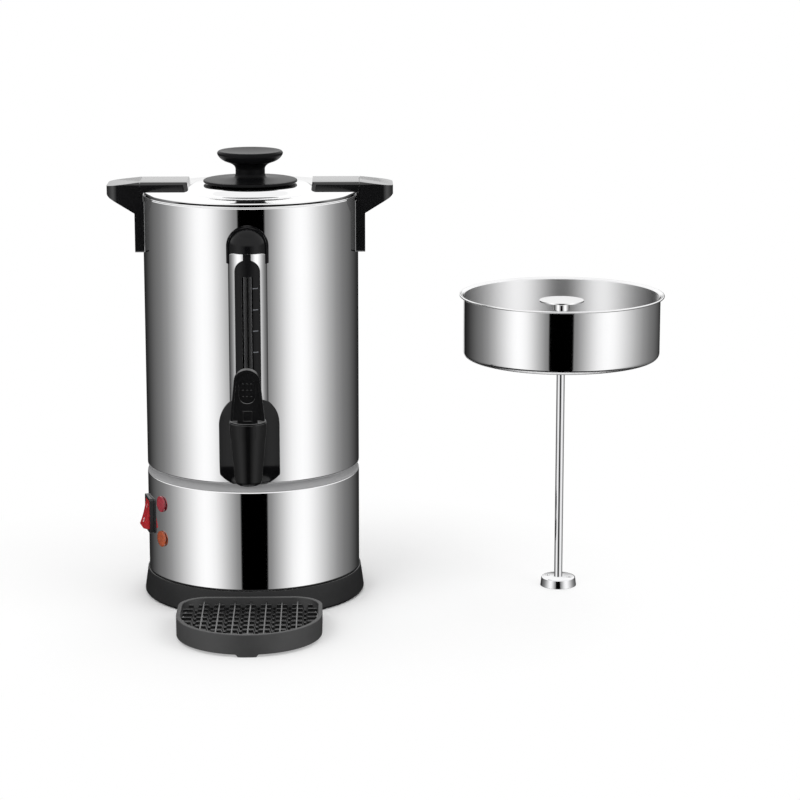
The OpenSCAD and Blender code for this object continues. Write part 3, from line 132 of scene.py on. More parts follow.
def through(points, steps=4):
    """A smooth line through points."""
    line = []
    ends = [points[0], *points, points[-1]]
    for a, b, c, d in zip(ends, ends[1:], ends[2:], ends[3:]):
        for k in range(steps):
            t = k / steps
            line.append(tuple(
                (2 * q + (r - p) * t + (2 * p - 5 * q + 4 * r - w) * t * t
                 + (3 * q - p - 3 * r + w) * t ** 3) / 2
                for p, q, r, w in zip(a, b, c, d)))
    return line + [points[-1]]


def tray_line(inset, steps=10):
    """The drip tray's outline seen from above, drawn in by an inset."""
    back = TRAY_Y - TRAY_CORNER
    side = TRAY_HALF - TRAY_CORNER
    return (arc(0, TRAY_Y + TRAY_HALF - TRAY_LEN, TRAY_HALF - inset, 180, 360, 4 * steps)
            + arc(side, back, TRAY_CORNER - inset, 0, 90, steps)
            + arc(-side, back, TRAY_CORNER - inset, 90, 180, steps))


# Meshes

def finish_mesh(mesh, material, sharp):
    """Smooth shading with sharp edges above an angle, and one material."""
    mesh.materials.clear()
    mesh.materials.append(material)
    mesh.shade_smooth()
    mesh.set_sharp_from_angle(angle=radians(sharp))


def added(name, data):
    """A new object in the scene, at the origin."""
    item = bpy.data.objects.new(name, data)
    scene.collection.objects.link(item)
    return item


def solid(name, points, faces, material, sharp=SHARP):
    """A closed piece from points in millimetres, its faces turned outwards."""
    mesh = bpy.data.meshes.new(name)
    mesh.from_pydata([Vector(p) * MM for p in points], [], faces)
    shape = bmesh.new()
    shape.from_mesh(mesh)
    bmesh.ops.remove_doubles(shape, verts=shape.verts, dist=WELD)
    bmesh.ops.recalc_face_normals(shape, faces=shape.faces)
    shape.to_mesh(mesh)
    shape.free()
    finish_mesh(mesh, material, sharp)
    return added(name, mesh)


def lathe(name, outline, material, centre=(0, 0), around=128, sharp=SHARP):
    """Turns an outline of (radius, height) about an upright axis."""
    whole = not (outline[0][0] == 0 and outline[-1][0] == 0)
    rows = len(outline)
    points = [(centre[0] + r * cos(tau * i / around), centre[1] + r * sin(tau * i / around), z)
              for i in range(around) for r, z in outline]
    faces = []
    for i in range(around):
        here, there = i * rows, (i + 1) % around * rows
        for k in range(rows if whole else rows - 1):
            up = (k + 1) % rows
            faces.append((here + k, here + up, there + up, there + k))
    return solid(name, points, faces, material, sharp)


def prism(name, outline, y0, y1, material):
    """An outline in X and Z, made solid from y0 to y1."""
    n = len(outline)
    points = [(x, y0, z) for x, z in outline] + [(x, y1, z) for x, z in outline]
    faces = [tuple(range(n)), tuple(range(2 * n - 1, n - 1, -1))]
    faces += [(k, (k + 1) % n, n + (k + 1) % n, n + k) for k in range(n)]
    return solid(name, points, faces, material)


def slab(name, outline, z0, z1, material, inner=None):
    """An outline in X and Y, made solid from z0 to z1, or a ring where it has an inner line."""
    n = len(outline)
    points = [(x, y, z) for z in (z0, z1) for x, y in outline]
    faces = [(k, (k + 1) % n, n + (k + 1) % n, n + k) for k in range(n)]
    if inner:
        points += [(x, y, z) for z in (z0, z1) for x, y in inner]
        faces += [tuple(2 * n + i for i in face) for face in faces]
        for level in (0, n):
            faces += [(level + k, level + (k + 1) % n, 2 * n + level + (k + 1) % n,
                       2 * n + level + k) for k in range(n)]
    else:
        faces += [tuple(range(n)), tuple(range(2 * n - 1, n - 1, -1))]
    return solid(name, points, faces, material)


def place(piece, matrix):
    """Moves a piece's mesh; its object stays at the origin."""
    piece.data.transform(matrix)
    return piece


def shift(x, y, z):
    """A move in millimetres."""
    return Matrix.Translation(Vector((x, y, z)) * MM)


def turned(angle, axis):
    """A turn about an axis through the origin."""
    return Matrix.Rotation(angle, 4, axis)


def soften(piece, width, segments):
    """A small round on every sharp edge."""
    bevel = piece.modifiers.new("edge_round", "BEVEL")
    bevel.width = width * MM
    bevel.segments = segments
    bevel.limit_method = "ANGLE"
    bevel.angle_limit = radians(CAD_SHARP)
    bevel.harden_normals = True
    bevel.use_clamp_overlap = True
    return piece


def work_in(piece, material):
    """Works a piece's modifiers into its mesh."""
    bpy.context.view_layer.update()
    depsgraph = bpy.context.evaluated_depsgraph_get()
    mesh = bpy.data.meshes.new_from_object(piece.evaluated_get(depsgraph))
    piece.modifiers.clear()
    piece.data = mesh
    finish_mesh(mesh, material, SHARP)


def cad_copy(name, node, material, width=0.4, segments=3):
    """A welded copy of a CAD node with its flat faces joined and its edges rounded."""
    mesh = frame["nodes"][node].data.copy()
    mesh.name = name
    shape = bmesh.new()
    shape.from_mesh(mesh)
    bmesh.ops.remove_doubles(shape, verts=shape.verts, dist=WELD)
    bmesh.ops.dissolve_limit(shape, angle_limit=radians(CAD_FLAT), verts=shape.verts,
                             edges=shape.edges, delimit=set())
    shape.to_mesh(mesh)
    shape.free()
    if mesh.has_custom_normals:
        mesh.attributes.remove(mesh.attributes["custom_normal"])
    finish_mesh(mesh, material, CAD_SHARP)
    return soften(added(name, mesh), width, segments)


def hand_over(piece, body, slot, *nodes):
    """The piece rides on its body and stands for its CAD nodes; its slot is not used."""
    if nodes:
        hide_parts(*nodes)
    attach(piece, body)


# Nodes of materials

def fed(tree, kind, inputs, **settings):
    """A new node's outputs; each input takes a value or the output of another node."""
    node = tree.nodes.new("ShaderNode" + kind)
    for name, value in settings.items():
        setattr(node, name, value)
    for socket, value in inputs.items():
        if isinstance(value, bpy.types.NodeSocket):
            tree.links.new(value, node.inputs[socket])
        else:
            node.inputs[socket].default_value = value
    return node.outputs


def maths(tree, operation, *values):
    """The result of a sum on one or two values."""
    return fed(tree, "Math", dict(enumerate(values)), operation=operation)["Value"]


def ranged(tree, value, start, end):
    """A share that runs from 0 to 1 while a value runs from start to end."""
    return fed(tree, "MapRange", {"Value": value, "From Min": start, "From Max": end})["Result"]


def ramp(tree, share, stops):
    """The colour at a share from 0 to 1, between stops of (position, colour)."""
    node = tree.nodes.new("ShaderNodeValToRGB")
    tree.links.new(share, node.inputs["Fac"])
    colours = node.color_ramp.elements
    for k, (position, colour) in enumerate(stops):
        stop = colours[k] if k < 2 else colours.new(position)
        stop.position = position
        stop.color = (*colour, 1)
    return node.outputs["Color"]


def mixed(tree, share, first, second, blend_type="MIX"):
    """Two colours mixed by a share."""
    return fed(tree, "Mix", {"Factor": share, "A": first, "B": second},
               data_type="RGBA", blend_type=blend_type)["Result"]


# Materials

def surface(name, colour, metallic=0.0, rough=(0.3, 0.4), grain=1500, depth=0.00001,
            mottled=0.05, patch=60, stretch=(1, 1, 1), specular=0.5, coat=0.0,
            coat_rough=0.1, clear=0.0, ior=1.5):
    """Colour that varies a little in patches, uneven gloss, and a fine surface grain."""
    material = bpy.data.materials.new(name)
    material.use_nodes = True
    tree = material.node_tree
    shader = tree.nodes["Principled BSDF"].inputs
    for label, value in (("Metallic", metallic), ("Specular IOR Level", specular),
                         ("Coat Weight", coat), ("Coat Roughness", coat_rough),
                         ("Transmission Weight", clear), ("IOR", ior)):
        shader[label].default_value = value
    where = fed(tree, "TexCoord", {})["Object"]
    stretched = fed(tree, "Mapping", {"Vector": where, "Scale": stretch})["Vector"]
    patches = fed(tree, "TexNoise", {"Vector": where, "Scale": patch, "Detail": 4})["Fac"]
    fine = fed(tree, "TexNoise", {"Vector": stretched, "Scale": grain, "Detail": 3})["Fac"]
    low = [max(0, c * (1 - mottled)) for c in colour]
    high = [min(1, c * (1 + mottled)) for c in colour]
    tree.links.new(ramp(tree, patches, ((0.3, low), (0.7, high))), shader["Base Color"])
    gloss = fed(tree, "MapRange", {"Value": fine, "To Min": rough[0], "To Max": rough[1]})
    tree.links.new(gloss["Result"], shader["Roughness"])
    if depth:
        bump = fed(tree, "Bump", {"Height": fine, "Strength": 0.5, "Distance": depth})
        tree.links.new(bump["Normal"], shader["Normal"])
    return material


shell_steel = surface("shell_steel", (0.86, 0.86, 0.865), 1, (0.035, 0.06), grain=300,
                      depth=0, mottled=0.012, patch=9, stretch=(1, 1, 8))
satin_steel = surface("satin_steel", (0.34, 0.34, 0.345), 0.4, (0.5, 0.6), grain=1200,
                      depth=0.000002, mottled=0.03, patch=40, stretch=(1, 1, 6))
lid_steel = surface("lid_steel", (0.9, 0.9, 0.905), 1, (0.05, 0.09), grain=300,
                    depth=0, mottled=0.015, patch=14)
disc_steel = surface("disc_steel", (0.93, 0.93, 0.935), 1, (0.05, 0.08), grain=400,
                     depth=0, mottled=0.012, patch=20)
strip_steel = surface("strip_steel", (0.92, 0.92, 0.925), 1, (0.08, 0.14), grain=400,
                      depth=0, mottled=0.02, patch=20, stretch=(4, 4, 0.3))
plain_steel = surface("plain_steel", (0.55, 0.55, 0.56), 1, (0.28, 0.42), grain=900,
                      depth=0.000004, mottled=0.06, patch=30)
screw_steel = surface("screw_steel", (0.6, 0.6, 0.62), 1, (0.2, 0.32), grain=1500,
                      depth=0.000004, mottled=0.05, patch=200)
basket_steel = surface("basket_steel", (0.86, 0.86, 0.865), 1, (0.04, 0.07), grain=300,
                       depth=0, mottled=0.012, patch=12, stretch=(1, 1, 8))
strainer_steel = surface("strainer_steel", (0.68, 0.68, 0.69), 1, (0.22, 0.32), grain=900,
                         depth=0.000004, mottled=0.04, patch=40)
tube_steel = surface("tube_steel", (0.84, 0.84, 0.85), 1, (0.06, 0.1), grain=500,
                     depth=0, mottled=0.02, patch=30, stretch=(6, 6, 0.4))
aluminium = surface("cast_aluminium", (0.6, 0.6, 0.61), 1, (0.4, 0.55), grain=700,
                    depth=0.00004, mottled=0.08, patch=60)
sheath = surface("element_sheath", (0.3, 0.29, 0.28), 1, (0.45, 0.6), grain=900,
                 depth=0.00001, mottled=0.12, patch=50)
brass = surface("contact_brass", (0.72, 0.52, 0.24), 1, (0.25, 0.38), grain=900,
                depth=0.000005, mottled=0.06, patch=120)
ceramic = surface("thermostat_ceramic", (0.78, 0.72, 0.6), 0, (0.5, 0.65), grain=900,
                  depth=0.00001, mottled=0.05, patch=90)
block_plastic = surface("block_plastic", (0.75, 0.73, 0.68), 0, (0.4, 0.55), grain=1200,
                        depth=0.00001, mottled=0.04, patch=60)
base_black = surface("base_black", (0.009, 0.009, 0.0095), 0, (0.28, 0.4), grain=1800,
                     depth=0.00001, mottled=0.15, patch=40, specular=0.3)
grip_black = surface("grip_black", (0.006, 0.006, 0.0065), 0, (0.12, 0.18), grain=900,
                     depth=0.0000005, mottled=0.15, patch=50, specular=0.5, coat=0.45,
                     coat_rough=0.08)
gloss_black = surface("gloss_black", (0.004, 0.004, 0.0045), 0, (0.1, 0.16), grain=900,
                      depth=0.0000005, mottled=0.15, patch=60, specular=0.22)
tap_black = surface("tap_black", (0.003, 0.003, 0.0033), 0, (0.16, 0.24), grain=900,
                    depth=0.0000005, mottled=0.15, patch=60, specular=0.25)
knob_black = surface("knob_black", (0.006, 0.006, 0.0065), 0, (0.28, 0.36), grain=1500,
                     depth=0.000002, mottled=0.15, patch=50, specular=0.06)
lever_black = surface("lever_black", (0.005, 0.005, 0.0055), 0, (0.24, 0.34), grain=1500,
                      depth=0.000006, mottled=0.15, patch=60, specular=0.35)
panel_black = surface("panel_black", (0.005, 0.005, 0.0055), 0, (0.22, 0.32), grain=1500,
                      depth=0.000008, mottled=0.12, patch=60, specular=0.15)
tray_grey = surface("tray_grey", (0.036, 0.036, 0.0365), 0, (0.46, 0.54), grain=1600,
                    depth=0.000002, mottled=0.08, patch=50, specular=0.6)
grille_grey = surface("grille_grey", (0.012, 0.012, 0.0125), 0, (0.2, 0.3), grain=1600,
                      depth=0.00001, mottled=0.12, patch=60, specular=0.6)
mark_white = surface("mark_white", (0.72, 0.72, 0.72), 0, (0.5, 0.6), grain=2000,
                     depth=0, mottled=0.03, patch=150)
mark_grey = surface("mark_grey", (0.13, 0.135, 0.15), 0, (0.4, 0.5), grain=2000,
                    depth=0, mottled=0.03, patch=150)
rubber = surface("rubber", (0.02, 0.02, 0.02), 0, (0.6, 0.75), grain=1400,
                 depth=0.00003, mottled=0.12, patch=70)
valve_plastic = surface("valve_plastic", (0.7, 0.69, 0.66), 0, (0.35, 0.45), grain=1200,
                        depth=0.00001, mottled=0.03, patch=90)
switch_black = surface("switch_black", (0.014, 0.014, 0.015), 0, (0.28, 0.4), grain=1800,
                       depth=0.00002, mottled=0.12, patch=80)
rocker_red = surface("rocker_red", (0.5, 0.006, 0.012), 0, (0.14, 0.22), grain=900,
                     depth=0.000004, mottled=0.12, patch=120, coat=0.4)
lens_red = surface("lens_red", (0.3, 0.012, 0.026), 0, (0.12, 0.2), grain=500,
                   depth=0.00002, mottled=0.25, patch=160, coat=0.4, coat_rough=0.08)
lens_amber = surface("lens_amber", (0.34, 0.055, 0.008), 0, (0.12, 0.2), grain=500,
                     depth=0.00002, mottled=0.25, patch=160, coat=0.4, coat_rough=0.08)
# The tube's near-black tint is painted shade: it darkens what shows through the clear tube, as
# the dark inside of the channel behind it would
clear_tube = surface("clear_tube", (0.05, 0.05, 0.052), 0, (0.05, 0.08), grain=500,
                     depth=0, mottled=0.04, patch=40, clear=0.9, ior=1.3, specular=0.5)


def satin_inside(material, axis, middle, rougher):
    """Makes a turned piece rougher where it is nearer its axis than its wall's middle."""
    tree = material.node_tree
    roughness = tree.nodes["Principled BSDF"].inputs["Roughness"]
    where = fed(tree, "TexCoord", {})["Object"]
    across = fed(tree, "Mapping", {"Vector": where, "Scale": (1, 1, 0),
                                   "Location": (-axis[0] * MM, -axis[1] * MM, 0)})["Vector"]
    radius = fed(tree, "VectorMath", {0: across}, operation="LENGTH")["Value"]
    inside = fed(tree, "MapRange", {"Value": radius, "From Min": (middle - WALL / 10) * MM,
                                    "From Max": (middle + WALL / 10) * MM,
                                    "To Min": rougher, "To Max": 0})["Result"]
    both = maths(tree, "ADD", roughness.links[0].from_socket, inside)
    tree.links.new(both, roughness)


# The basket is polished outside and satin inside
satin_inside(basket_steel, BREW, BASKET_R - WALL / 2, 0.28)

# Materials of the CAD nodes that stay as they are

KEPT = {
    "bottom_cover": plain_steel, "cover_screws": screw_steel, "rubber_feet": rubber,
    "heater_plate": aluminium, "heating_element": sheath, "heater_bracket": plain_steel,
    "bracket_nut": screw_steel, "boil_thermostat": ceramic, "warm_thermostat": ceramic,
    "thermal_fuse": brass, "terminal_block": block_plastic, "power_inlet": base_black,
    "ear_screws": screw_steel, "knob_screw": screw_steel, "handle_screws": screw_steel,
    "gauge_cap_screw": screw_steel, "tube_seals": rubber, "lever_pin": screw_steel,
    "valve_plunger": valve_plastic, "tap_spring": screw_steel, "tap_gaskets": rubber,
    "tap_nut": screw_steel, "lamp_holders": switch_black, "flap_valve": rubber,
    "stem_stop": tube_steel, "basket_strainer": strainer_steel,
}
for node, material in KEPT.items():
    slots = frame["nodes"][node].data.materials
    if len(slots) == 0:
        slots.append(material)
    for i in range(len(slots)):
        slots[i] = material


# Repeats, made with Geometry Nodes

def row_of_copies():
    """Copies of a unit in a row."""
    tree = bpy.data.node_groups.new("row_of_copies", "GeometryNodeTree")
    face = tree.interface
    for label, kind in (("Unit", "Geometry"), ("Count", "Int"), ("Start", "Vector"),
                        ("Step", "Vector"), ("Finish", "Material")):
        face.new_socket(label, in_out="INPUT", socket_type="NodeSocket" + kind)
    face.new_socket("Row", in_out="OUTPUT", socket_type="NodeSocketGeometry")
    add, link = tree.nodes.new, tree.links.new
    given, result, line = (add("NodeGroupInput"), add("NodeGroupOutput"),
                           add("GeometryNodeMeshLine"))
    copies, real, coat = (add("GeometryNodeInstanceOnPoints"),
                          add("GeometryNodeRealizeInstances"), add("GeometryNodeSetMaterial"))
    link(given.outputs["Count"], line.inputs["Count"])
    link(given.outputs["Start"], line.inputs["Start Location"])
    link(given.outputs["Step"], line.inputs["Offset"])
    link(line.outputs["Mesh"], copies.inputs["Points"])
    link(given.outputs["Unit"], copies.inputs["Instance"])
    link(copies.outputs["Instances"], real.inputs["Geometry"])
    link(real.outputs["Geometry"], coat.inputs["Geometry"])
    link(given.outputs["Finish"], coat.inputs["Material"])
    link(coat.outputs["Geometry"], result.inputs["Row"])
    return tree


row_tree = row_of_copies()


def in_a_row(unit, material, count, start, step):
    """Repeats a unit piece in a row and works the copies into its mesh."""
    modifier = unit.modifiers.new("row", "NODES")
    modifier.node_group = row_tree
    sockets = {s.name: s.identifier for s in row_tree.interface.items_tree
               if s.in_out == "INPUT"}
    for label, value in (("Count", count), ("Start", Vector(start) * MM),
                         ("Step", Vector(step) * MM), ("Finish", material)):
        modifier[sockets[label]] = value
    work_in(unit, material)


def joined(name, pieces, material):
    """Several pieces as one mesh."""
    shape = bmesh.new()
    for piece in pieces:
        shape.from_mesh(piece.data)
    mesh = bpy.data.meshes.new(name)
    shape.to_mesh(mesh)
    shape.free()
    for piece in pieces:
        bpy.data.objects.remove(piece)
    finish_mesh(mesh, material, SHARP)
    return added(name, mesh)


def cut(piece, tool, material, operation="DIFFERENCE"):
    """Cuts a piece with a tool, which is used up."""
    knife = piece.modifiers.new("cut", "BOOLEAN")
    knife.operation = operation
    knife.solver = "EXACT"
    knife.object = tool
    work_in(piece, material)
    bpy.data.objects.remove(tool)
    return piece


# Vessel, lower shell and base

hand_over(lathe("vessel_shell", [
    (0, 105), (23, 105), (23, 123), (108.4, 123), (108.4, 129),
    (108.2, 129.3), (108.2, 138.7), (109.7, 138.8), (110, 139.3), (110, 140),
    (110, 277), (110, 415.7), (110, 416), (109.8, 416.3), (109.55, 416.5), (109.5, 416.7),
    *arc(109.2, 417.2, 0.8, -30, 90, 8), *arc(108.4, 416.4, 1.6, 90, 292, 14),
    (109, 277), (109, 139),
    (107.4, 139), (107.4, 124), (22, 124), (22, 106), (0, 106),
], shell_steel, around=AROUND), "urn", "brushed_steel", "vessel", "vessel_floor")

hand_over(lathe("waist_ring", [
    (108.3, 129.4), (109.8, 129.2), (109.8, 130), *arc(115, 134, 6.6, 217, 143, 12), (109.8, 138),
    (109.8, 138.8), (108.3, 138.6),
], satin_steel, around=AROUND), "urn", "brushed_steel")

lower = lathe("lower_steel_shell", [
    (108.4, 20), (109.1, 20), (109.1, 26.2), (109.4, 26.3), *arc(109, 28.2, 1, -20, 0, 4),
    (110, 30), (110, 128), (109.9, 128.6), (109.6, 129), (108.7, 129), (108.7, 128), (109, 128),
    (109, 28.2), (108.4, 26.2),
], shell_steel, around=AROUND)

# Openings in the lower shell: their width, height and corner radius

SWITCH_HOLE = (26.7, 34.7, 1)
LAMP_HOLE = (12.9, 12.9, 6)
INLET_HOLE, INLET_Z = (28.5, 21.5, 1), 60
CUT_OUT, CUT_IN = 4, 8

openings = []
for turn, level, (wide, high, corner) in (
        (SWITCH_TURN, SWITCH_Z, SWITCH_HOLE), (LAMP_TURN, SWITCH_Z + LAMP_RISE, LAMP_HOLE),
        (LAMP_TURN, SWITCH_Z - LAMP_RISE, LAMP_HOLE), (pi, INLET_Z, INLET_HOLE)):
    corners = [(x * wide / 2, z * high / 2, corner)
               for x, z in ((-1, -1), (1, -1), (1, 1), (-1, 1))]
    hole = prism("opening", rounded(corners), -BODY_R - CUT_OUT, -BODY_R + CUT_IN, shell_steel)
    openings.append(place(hole, shift(0, 0, level) @ turned(turn, "Z")))
cut(lower, joined("openings", openings, shell_steel), shell_steel)
hand_over(lower, "urn", "brushed_steel", "lower_shell")

hand_over(lathe("skirt", [
    (104, 20), (110.3, 20), (110.3, 25.7), *arc(110.9, 25.4, 0.6, 150, 20, 5),
    *arc(111.7, 3, 3, 9, -90, 8), (109.7, 0), (109.7, 7.2), (104, 7.2),
], base_black, around=AROUND), "urn", "black_base", "base_skirt")

# Lid, knob and flange

BAND_R, DOME_R, DOME_STEPS = 70, 57, 14
LID_EDGE_Z, LID_SKIRT_Z = 420.4, 410


def lid_height(r):
    """Height of the lid's top surface at a radius."""
    if r >= BAND_R:
        return BAND_Z
    if r >= DOME_R:
        share = (BAND_R - r) / (BAND_R - DOME_R)
        return BAND_Z + (DOME_Z - BAND_Z) * (1 - cos(pi * share)) / 2
    return DOME_Z + (FLANGE_Z - DOME_Z) * (1 - r / DOME_R)


slope = [DOME_R + (BAND_R - DOME_R) * k / DOME_STEPS for k in range(DOME_STEPS + 1)]
lid_top = [(0, FLANGE_Z), (30, lid_height(30))] + [(r, lid_height(r)) for r in slope]
lid_edge = arc(107.9, LID_EDGE_Z, 1.1, 90, -25, 10) + [
    (108.06, 418.15), (107.6, 418.1), (106.6, 418.5), (106, LID_EDGE_Z), (106, LID_SKIRT_Z),
    (105, LID_SKIRT_Z), (105, BAND_Z - WALL),
]
lid_under = [(r, lid_height(r) - WALL) for r in reversed(slope)] + [
    (12, DOME_Z + 0.2), (0, DOME_Z + 0.2),
]
hand_over(lathe("lid_shell", lid_top + lid_edge + lid_under, lid_steel, around=AROUND),
          "lid", "lid_steel", "lid")

hand_over(lathe("knob_disc", [
    (0, FLANGE_Z), *arc(46.6, 430.3, 1.4, -90, 90, 10), (40, 431.9), (33.6, 432.1), (27, 432.55),
    (22.5, 433.05), *arc(18.6, 437, 3.4, 258, 180, 8), (15, 437.6), (0, 437.6),
], knob_black), "lid", "black_gloss", "knob_flange")

KNOB_R, KNOB_H, KNOB_LIP, KNOB_DISH = 33.5, KNOB_TOP - KNOB_Z, 2.7, 2
knob_side = through([(KNOB_R * s, KNOB_TOP - KNOB_H * t) for s, t in (
    (0.448, 0.74), (0.45, 0.67), (0.472, 0.6), (0.51, 0.545), (0.576, 0.487), (0.654, 0.444),
    (0.743, 0.407), (0.82, 0.365), (0.896, 0.3), (0.955, 0.22), (0.992, 0.15))])
knob_lip = arc(KNOB_R - KNOB_LIP, KNOB_TOP - 2.9, KNOB_LIP, 0, 80, 8)
knob_dish = [(KNOB_R * s, KNOB_TOP - KNOB_DISH * (1 - s * s))
             for s in (0.88, 0.8, 0.7, 0.6, 0.45, 0.3, 0.15, 0)]
hand_over(lathe("knob_body", [(0, KNOB_Z), (15, KNOB_Z + 1)] + knob_side + knob_lip + knob_dish,
                knob_black, sharp=50), "lid", "black_gloss", "knob")

# Ears and handles

HANDLE_IN, HANDLE_ROUND, HANDLE_SLACK = 109, 110.3, 0.05
SEAM_NEAR, SEAM_FAR = 22, 24.6
SEAM_LINE = [(108.1, 412.3), (111.6, 412.3), (111.6, 430.5), (111.05, 430.5), (111.05, 421.4),
             (108.1, 421.4)]

for side, way in (("left", -1), ("right", 1)):
    hand_over(cad_copy(f"ear_{side}", f"lid_ear_{side}", grip_black, 0.5),
              "lid", "black_grip", f"lid_ear_{side}")

    # The handle's flat inner face is drawn round the vessel, so that no gap shows beside it
    grip = cad_copy(f"grip_{side}", f"handle_{side}", grip_black, 0.6)
    for corner in grip.data.vertices:
        if abs(corner.co.x) < (HANDLE_IN + HANDLE_SLACK) * MM:
            rounding = ((HANDLE_ROUND * MM) ** 2 - corner.co.y ** 2) ** 0.5
            corner.co.x = way * min(HANDLE_IN * MM, rounding)
    hand_over(grip, "urn", "black_grip", f"handle_{side}")

    # Two lips close the seam between the handle and the ear, in front and behind
    lips = [prism("lip", [(way * x, z) for x, z in SEAM_LINE], y0, y1, grip_black)
            for y0, y1 in ((-SEAM_FAR, -SEAM_NEAR), (SEAM_NEAR, SEAM_FAR))]
    hand_over(joined(f"seam_lip_{side}", lips, grip_black), "urn", "black_grip")

# Sight gauge

hand_over(cad_copy("gauge_strips", "gauge_channel", strip_steel, 0.15, 2),
          "urn", "polished_steel", "gauge_channel")
hand_over(cad_copy("gauge_face", "gauge_panel", panel_black, 0.3, 2),
          "urn", "black_panel", "gauge_panel")
hand_over(cad_copy("gauge_hood", "gauge_cap", gloss_black, 0.4),
          "urn", "black_gloss", "gauge_cap")
PANEL_Y, PANEL_R, TICK_W, TICK_TOP, TICK_PITCH, TICK_COUNT = -106, 18.6, 0.5, 339, 21.3, 4
tick_line = (arc(0, PANEL_Y, PANEL_R, -73, -56, 6)
             + arc(0, PANEL_Y, PANEL_R - TICK_W, -56, -73, 6))
ticks = slab("gauge_ticks", tick_line, 0.1, 0.9, mark_grey)
in_a_row(ticks, mark_grey, TICK_COUNT, (0, 0, TICK_TOP), (0, 0, -TICK_PITCH))
hand_over(ticks, "urn", "mark_white", "gauge_marks")

TUBE_IN, TUBE_OUT, TUBE_EDGE = 2.5, 4, 0.3
tube_low, tube_high = (end.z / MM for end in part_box("sight_tube"))
tube_line = rounded([(x, z, TUBE_EDGE) for x, z in (
    (TUBE_IN, tube_low), (TUBE_OUT, tube_low), (TUBE_OUT, tube_high), (TUBE_IN, tube_high))], 3)
hand_over(lathe("clear_gauge_tube", tube_line, clear_tube, TUBE, 48),
          "urn", "clear_tube", "sight_tube")

# Tap

hand_over(cad_copy("back_plate", "tap_back_plate", gloss_black, 1.2, 4),
          "urn", "black_gloss", "tap_back_plate")
hand_over(cad_copy("cup_and_spout", "tap_body", tap_black, 0.3, 2),
          "urn", "black_gloss", "tap_body")
hand_over(cad_copy("collar_ring", "tap_collar", tap_black, 0.5, 3),
          "urn", "black_gloss", "tap_collar")
hand_over(cad_copy("lever_blade", "tap_lever", lever_black, 0.4),
          "lever", "black_gloss", "tap_lever")

# Switch and pilot lamps

hand_over(cad_copy("switch_frame", "switch_bezel", switch_black, 0.4),
          "urn", "black_switch", "switch_bezel")
hand_over(cad_copy("rocker_cap", "switch_rocker", rocker_red, 0.5),
          "rocker", "rocker_red", "switch_rocker")

# The marks for on and off, a bar and a ring, on the hollow faces of the rocker

MARK_RISE, MARK_IN, MARK_OUT = 7.5, -0.3, 0.12
ROCKER_Y, ROCKER_FACE, ROCKER_HALF, ROCKER_HOLLOW = -111.5, 4.7, 15, 1.2
bar = [(-0.35, -2.2), (0.35, -2.2), (0.35, 2.2), (-0.35, 2.2)]
ring = [(1.6, MARK_IN), (2.3, MARK_IN), (2.3, MARK_OUT), (1.6, MARK_OUT)]
marks = []
for level, mark in (
        (MARK_RISE, slab("bar_mark", bar, MARK_IN, MARK_OUT, mark_white)),
        (-MARK_RISE, lathe("ring_mark", ring, mark_white, around=32))):
    hollow = ROCKER_HOLLOW * (1 - (level / ROCKER_HALF) ** 2)
    lean = atan2(2 * ROCKER_HOLLOW * level, ROCKER_HALF ** 2)
    marks.append(place(mark, turned(SWITCH_TURN, "Z") @ shift(0, ROCKER_Y, SWITCH_Z)
                       @ turned(-ROCKER_TILT, "X") @ shift(0, hollow - ROCKER_FACE, level)
                       @ turned(pi / 2 + lean, "X")))
hand_over(joined("rocker_marks", marks, mark_white), "rocker", "mark_white")

lens_line = [
    (0, -5.8), (4.8, -5.8), (4.8, 0.4), (8.2, 0.4), *arc(7.8, 1.5, 0.4, 0, 70, 4), (7, 2.2),
    (5.5, 2.55), (4, 2.8), (2, 2.95), (0, 3),
]
for name, level, material, node, slot in (
        ("red_lens", SWITCH_Z + LAMP_RISE, lens_red, "lamp_red", "lens_red"),
        ("amber_lens", SWITCH_Z - LAMP_RISE, lens_amber, "lamp_amber", "lens_amber")):
    lens = place(lathe(name, lens_line, material, around=64),
                 turned(LAMP_TURN, "Z") @ shift(0, -BODY_R, level) @ turned(pi / 2, "X"))
    hand_over(lens, "urn", slot, node)

# Drip tray and grille

hand_over(cad_copy("tray_pan", "drip_tray", tray_grey, 0.8),
          "tray", "tray_plastic", "drip_tray")

# The grille: straight ribs, and waved strips across them, cut to the tray's outline

RIB_PITCH, RIB_T, RIB_SIDE, RIB_DEEP = 15.7, 1.4, 3, 4
WAVE_PITCH, WAVE_COUNT, WAVE_START, WAVE_TOP, STRIP_DEEP = 14.4, 8, 15, 0.7, 3
WAVE = ((-0.43, 6), (-0.33, 0), (0.33, 0), (0.43, 6))
CUT_GAP, CUT_TOP = 0.6, 30
LEDGE_Z, FRAME_H = 9.3, 3

strip_top = [(RIB_PITCH * (i + x), GRILLE_Z - WAVE_TOP - low) for i in range(-5, 6)
             for x, low in WAVE]
strip = prism("waved_strip", strip_top + [(x, z - STRIP_DEEP) for x, z in reversed(strip_top)],
              -RIB_T / 2, RIB_T / 2, grille_grey)
rib_line = [(-RIB_T / 2, GRILLE_Z - RIB_DEEP), (RIB_T / 2, GRILLE_Z - RIB_DEEP),
            (RIB_T / 2, GRILLE_Z), (-RIB_T / 2, GRILLE_Z)]
rib = prism("straight_rib", rib_line, -TRAY_LEN, 0, grille_grey)
rows = []
for unit, count, start, step in (
        (strip, WAVE_COUNT, (0, TRAY_Y - WAVE_START, 0), (0, -WAVE_PITCH, 0)),
        (rib, 2 * RIB_SIDE + 1, (-RIB_SIDE * RIB_PITCH, TRAY_Y, 0), (RIB_PITCH, 0, 0))):
    work_in(soften(unit, 0.25, 2), grille_grey)
    in_a_row(unit, grille_grey, count, start, step)
    cutter = slab("tray_cutter", tray_line(TRAY_INSET + CUT_GAP), 0, CUT_TOP, grille_grey)
    rows.append(cut(unit, cutter, grille_grey, "INTERSECT"))
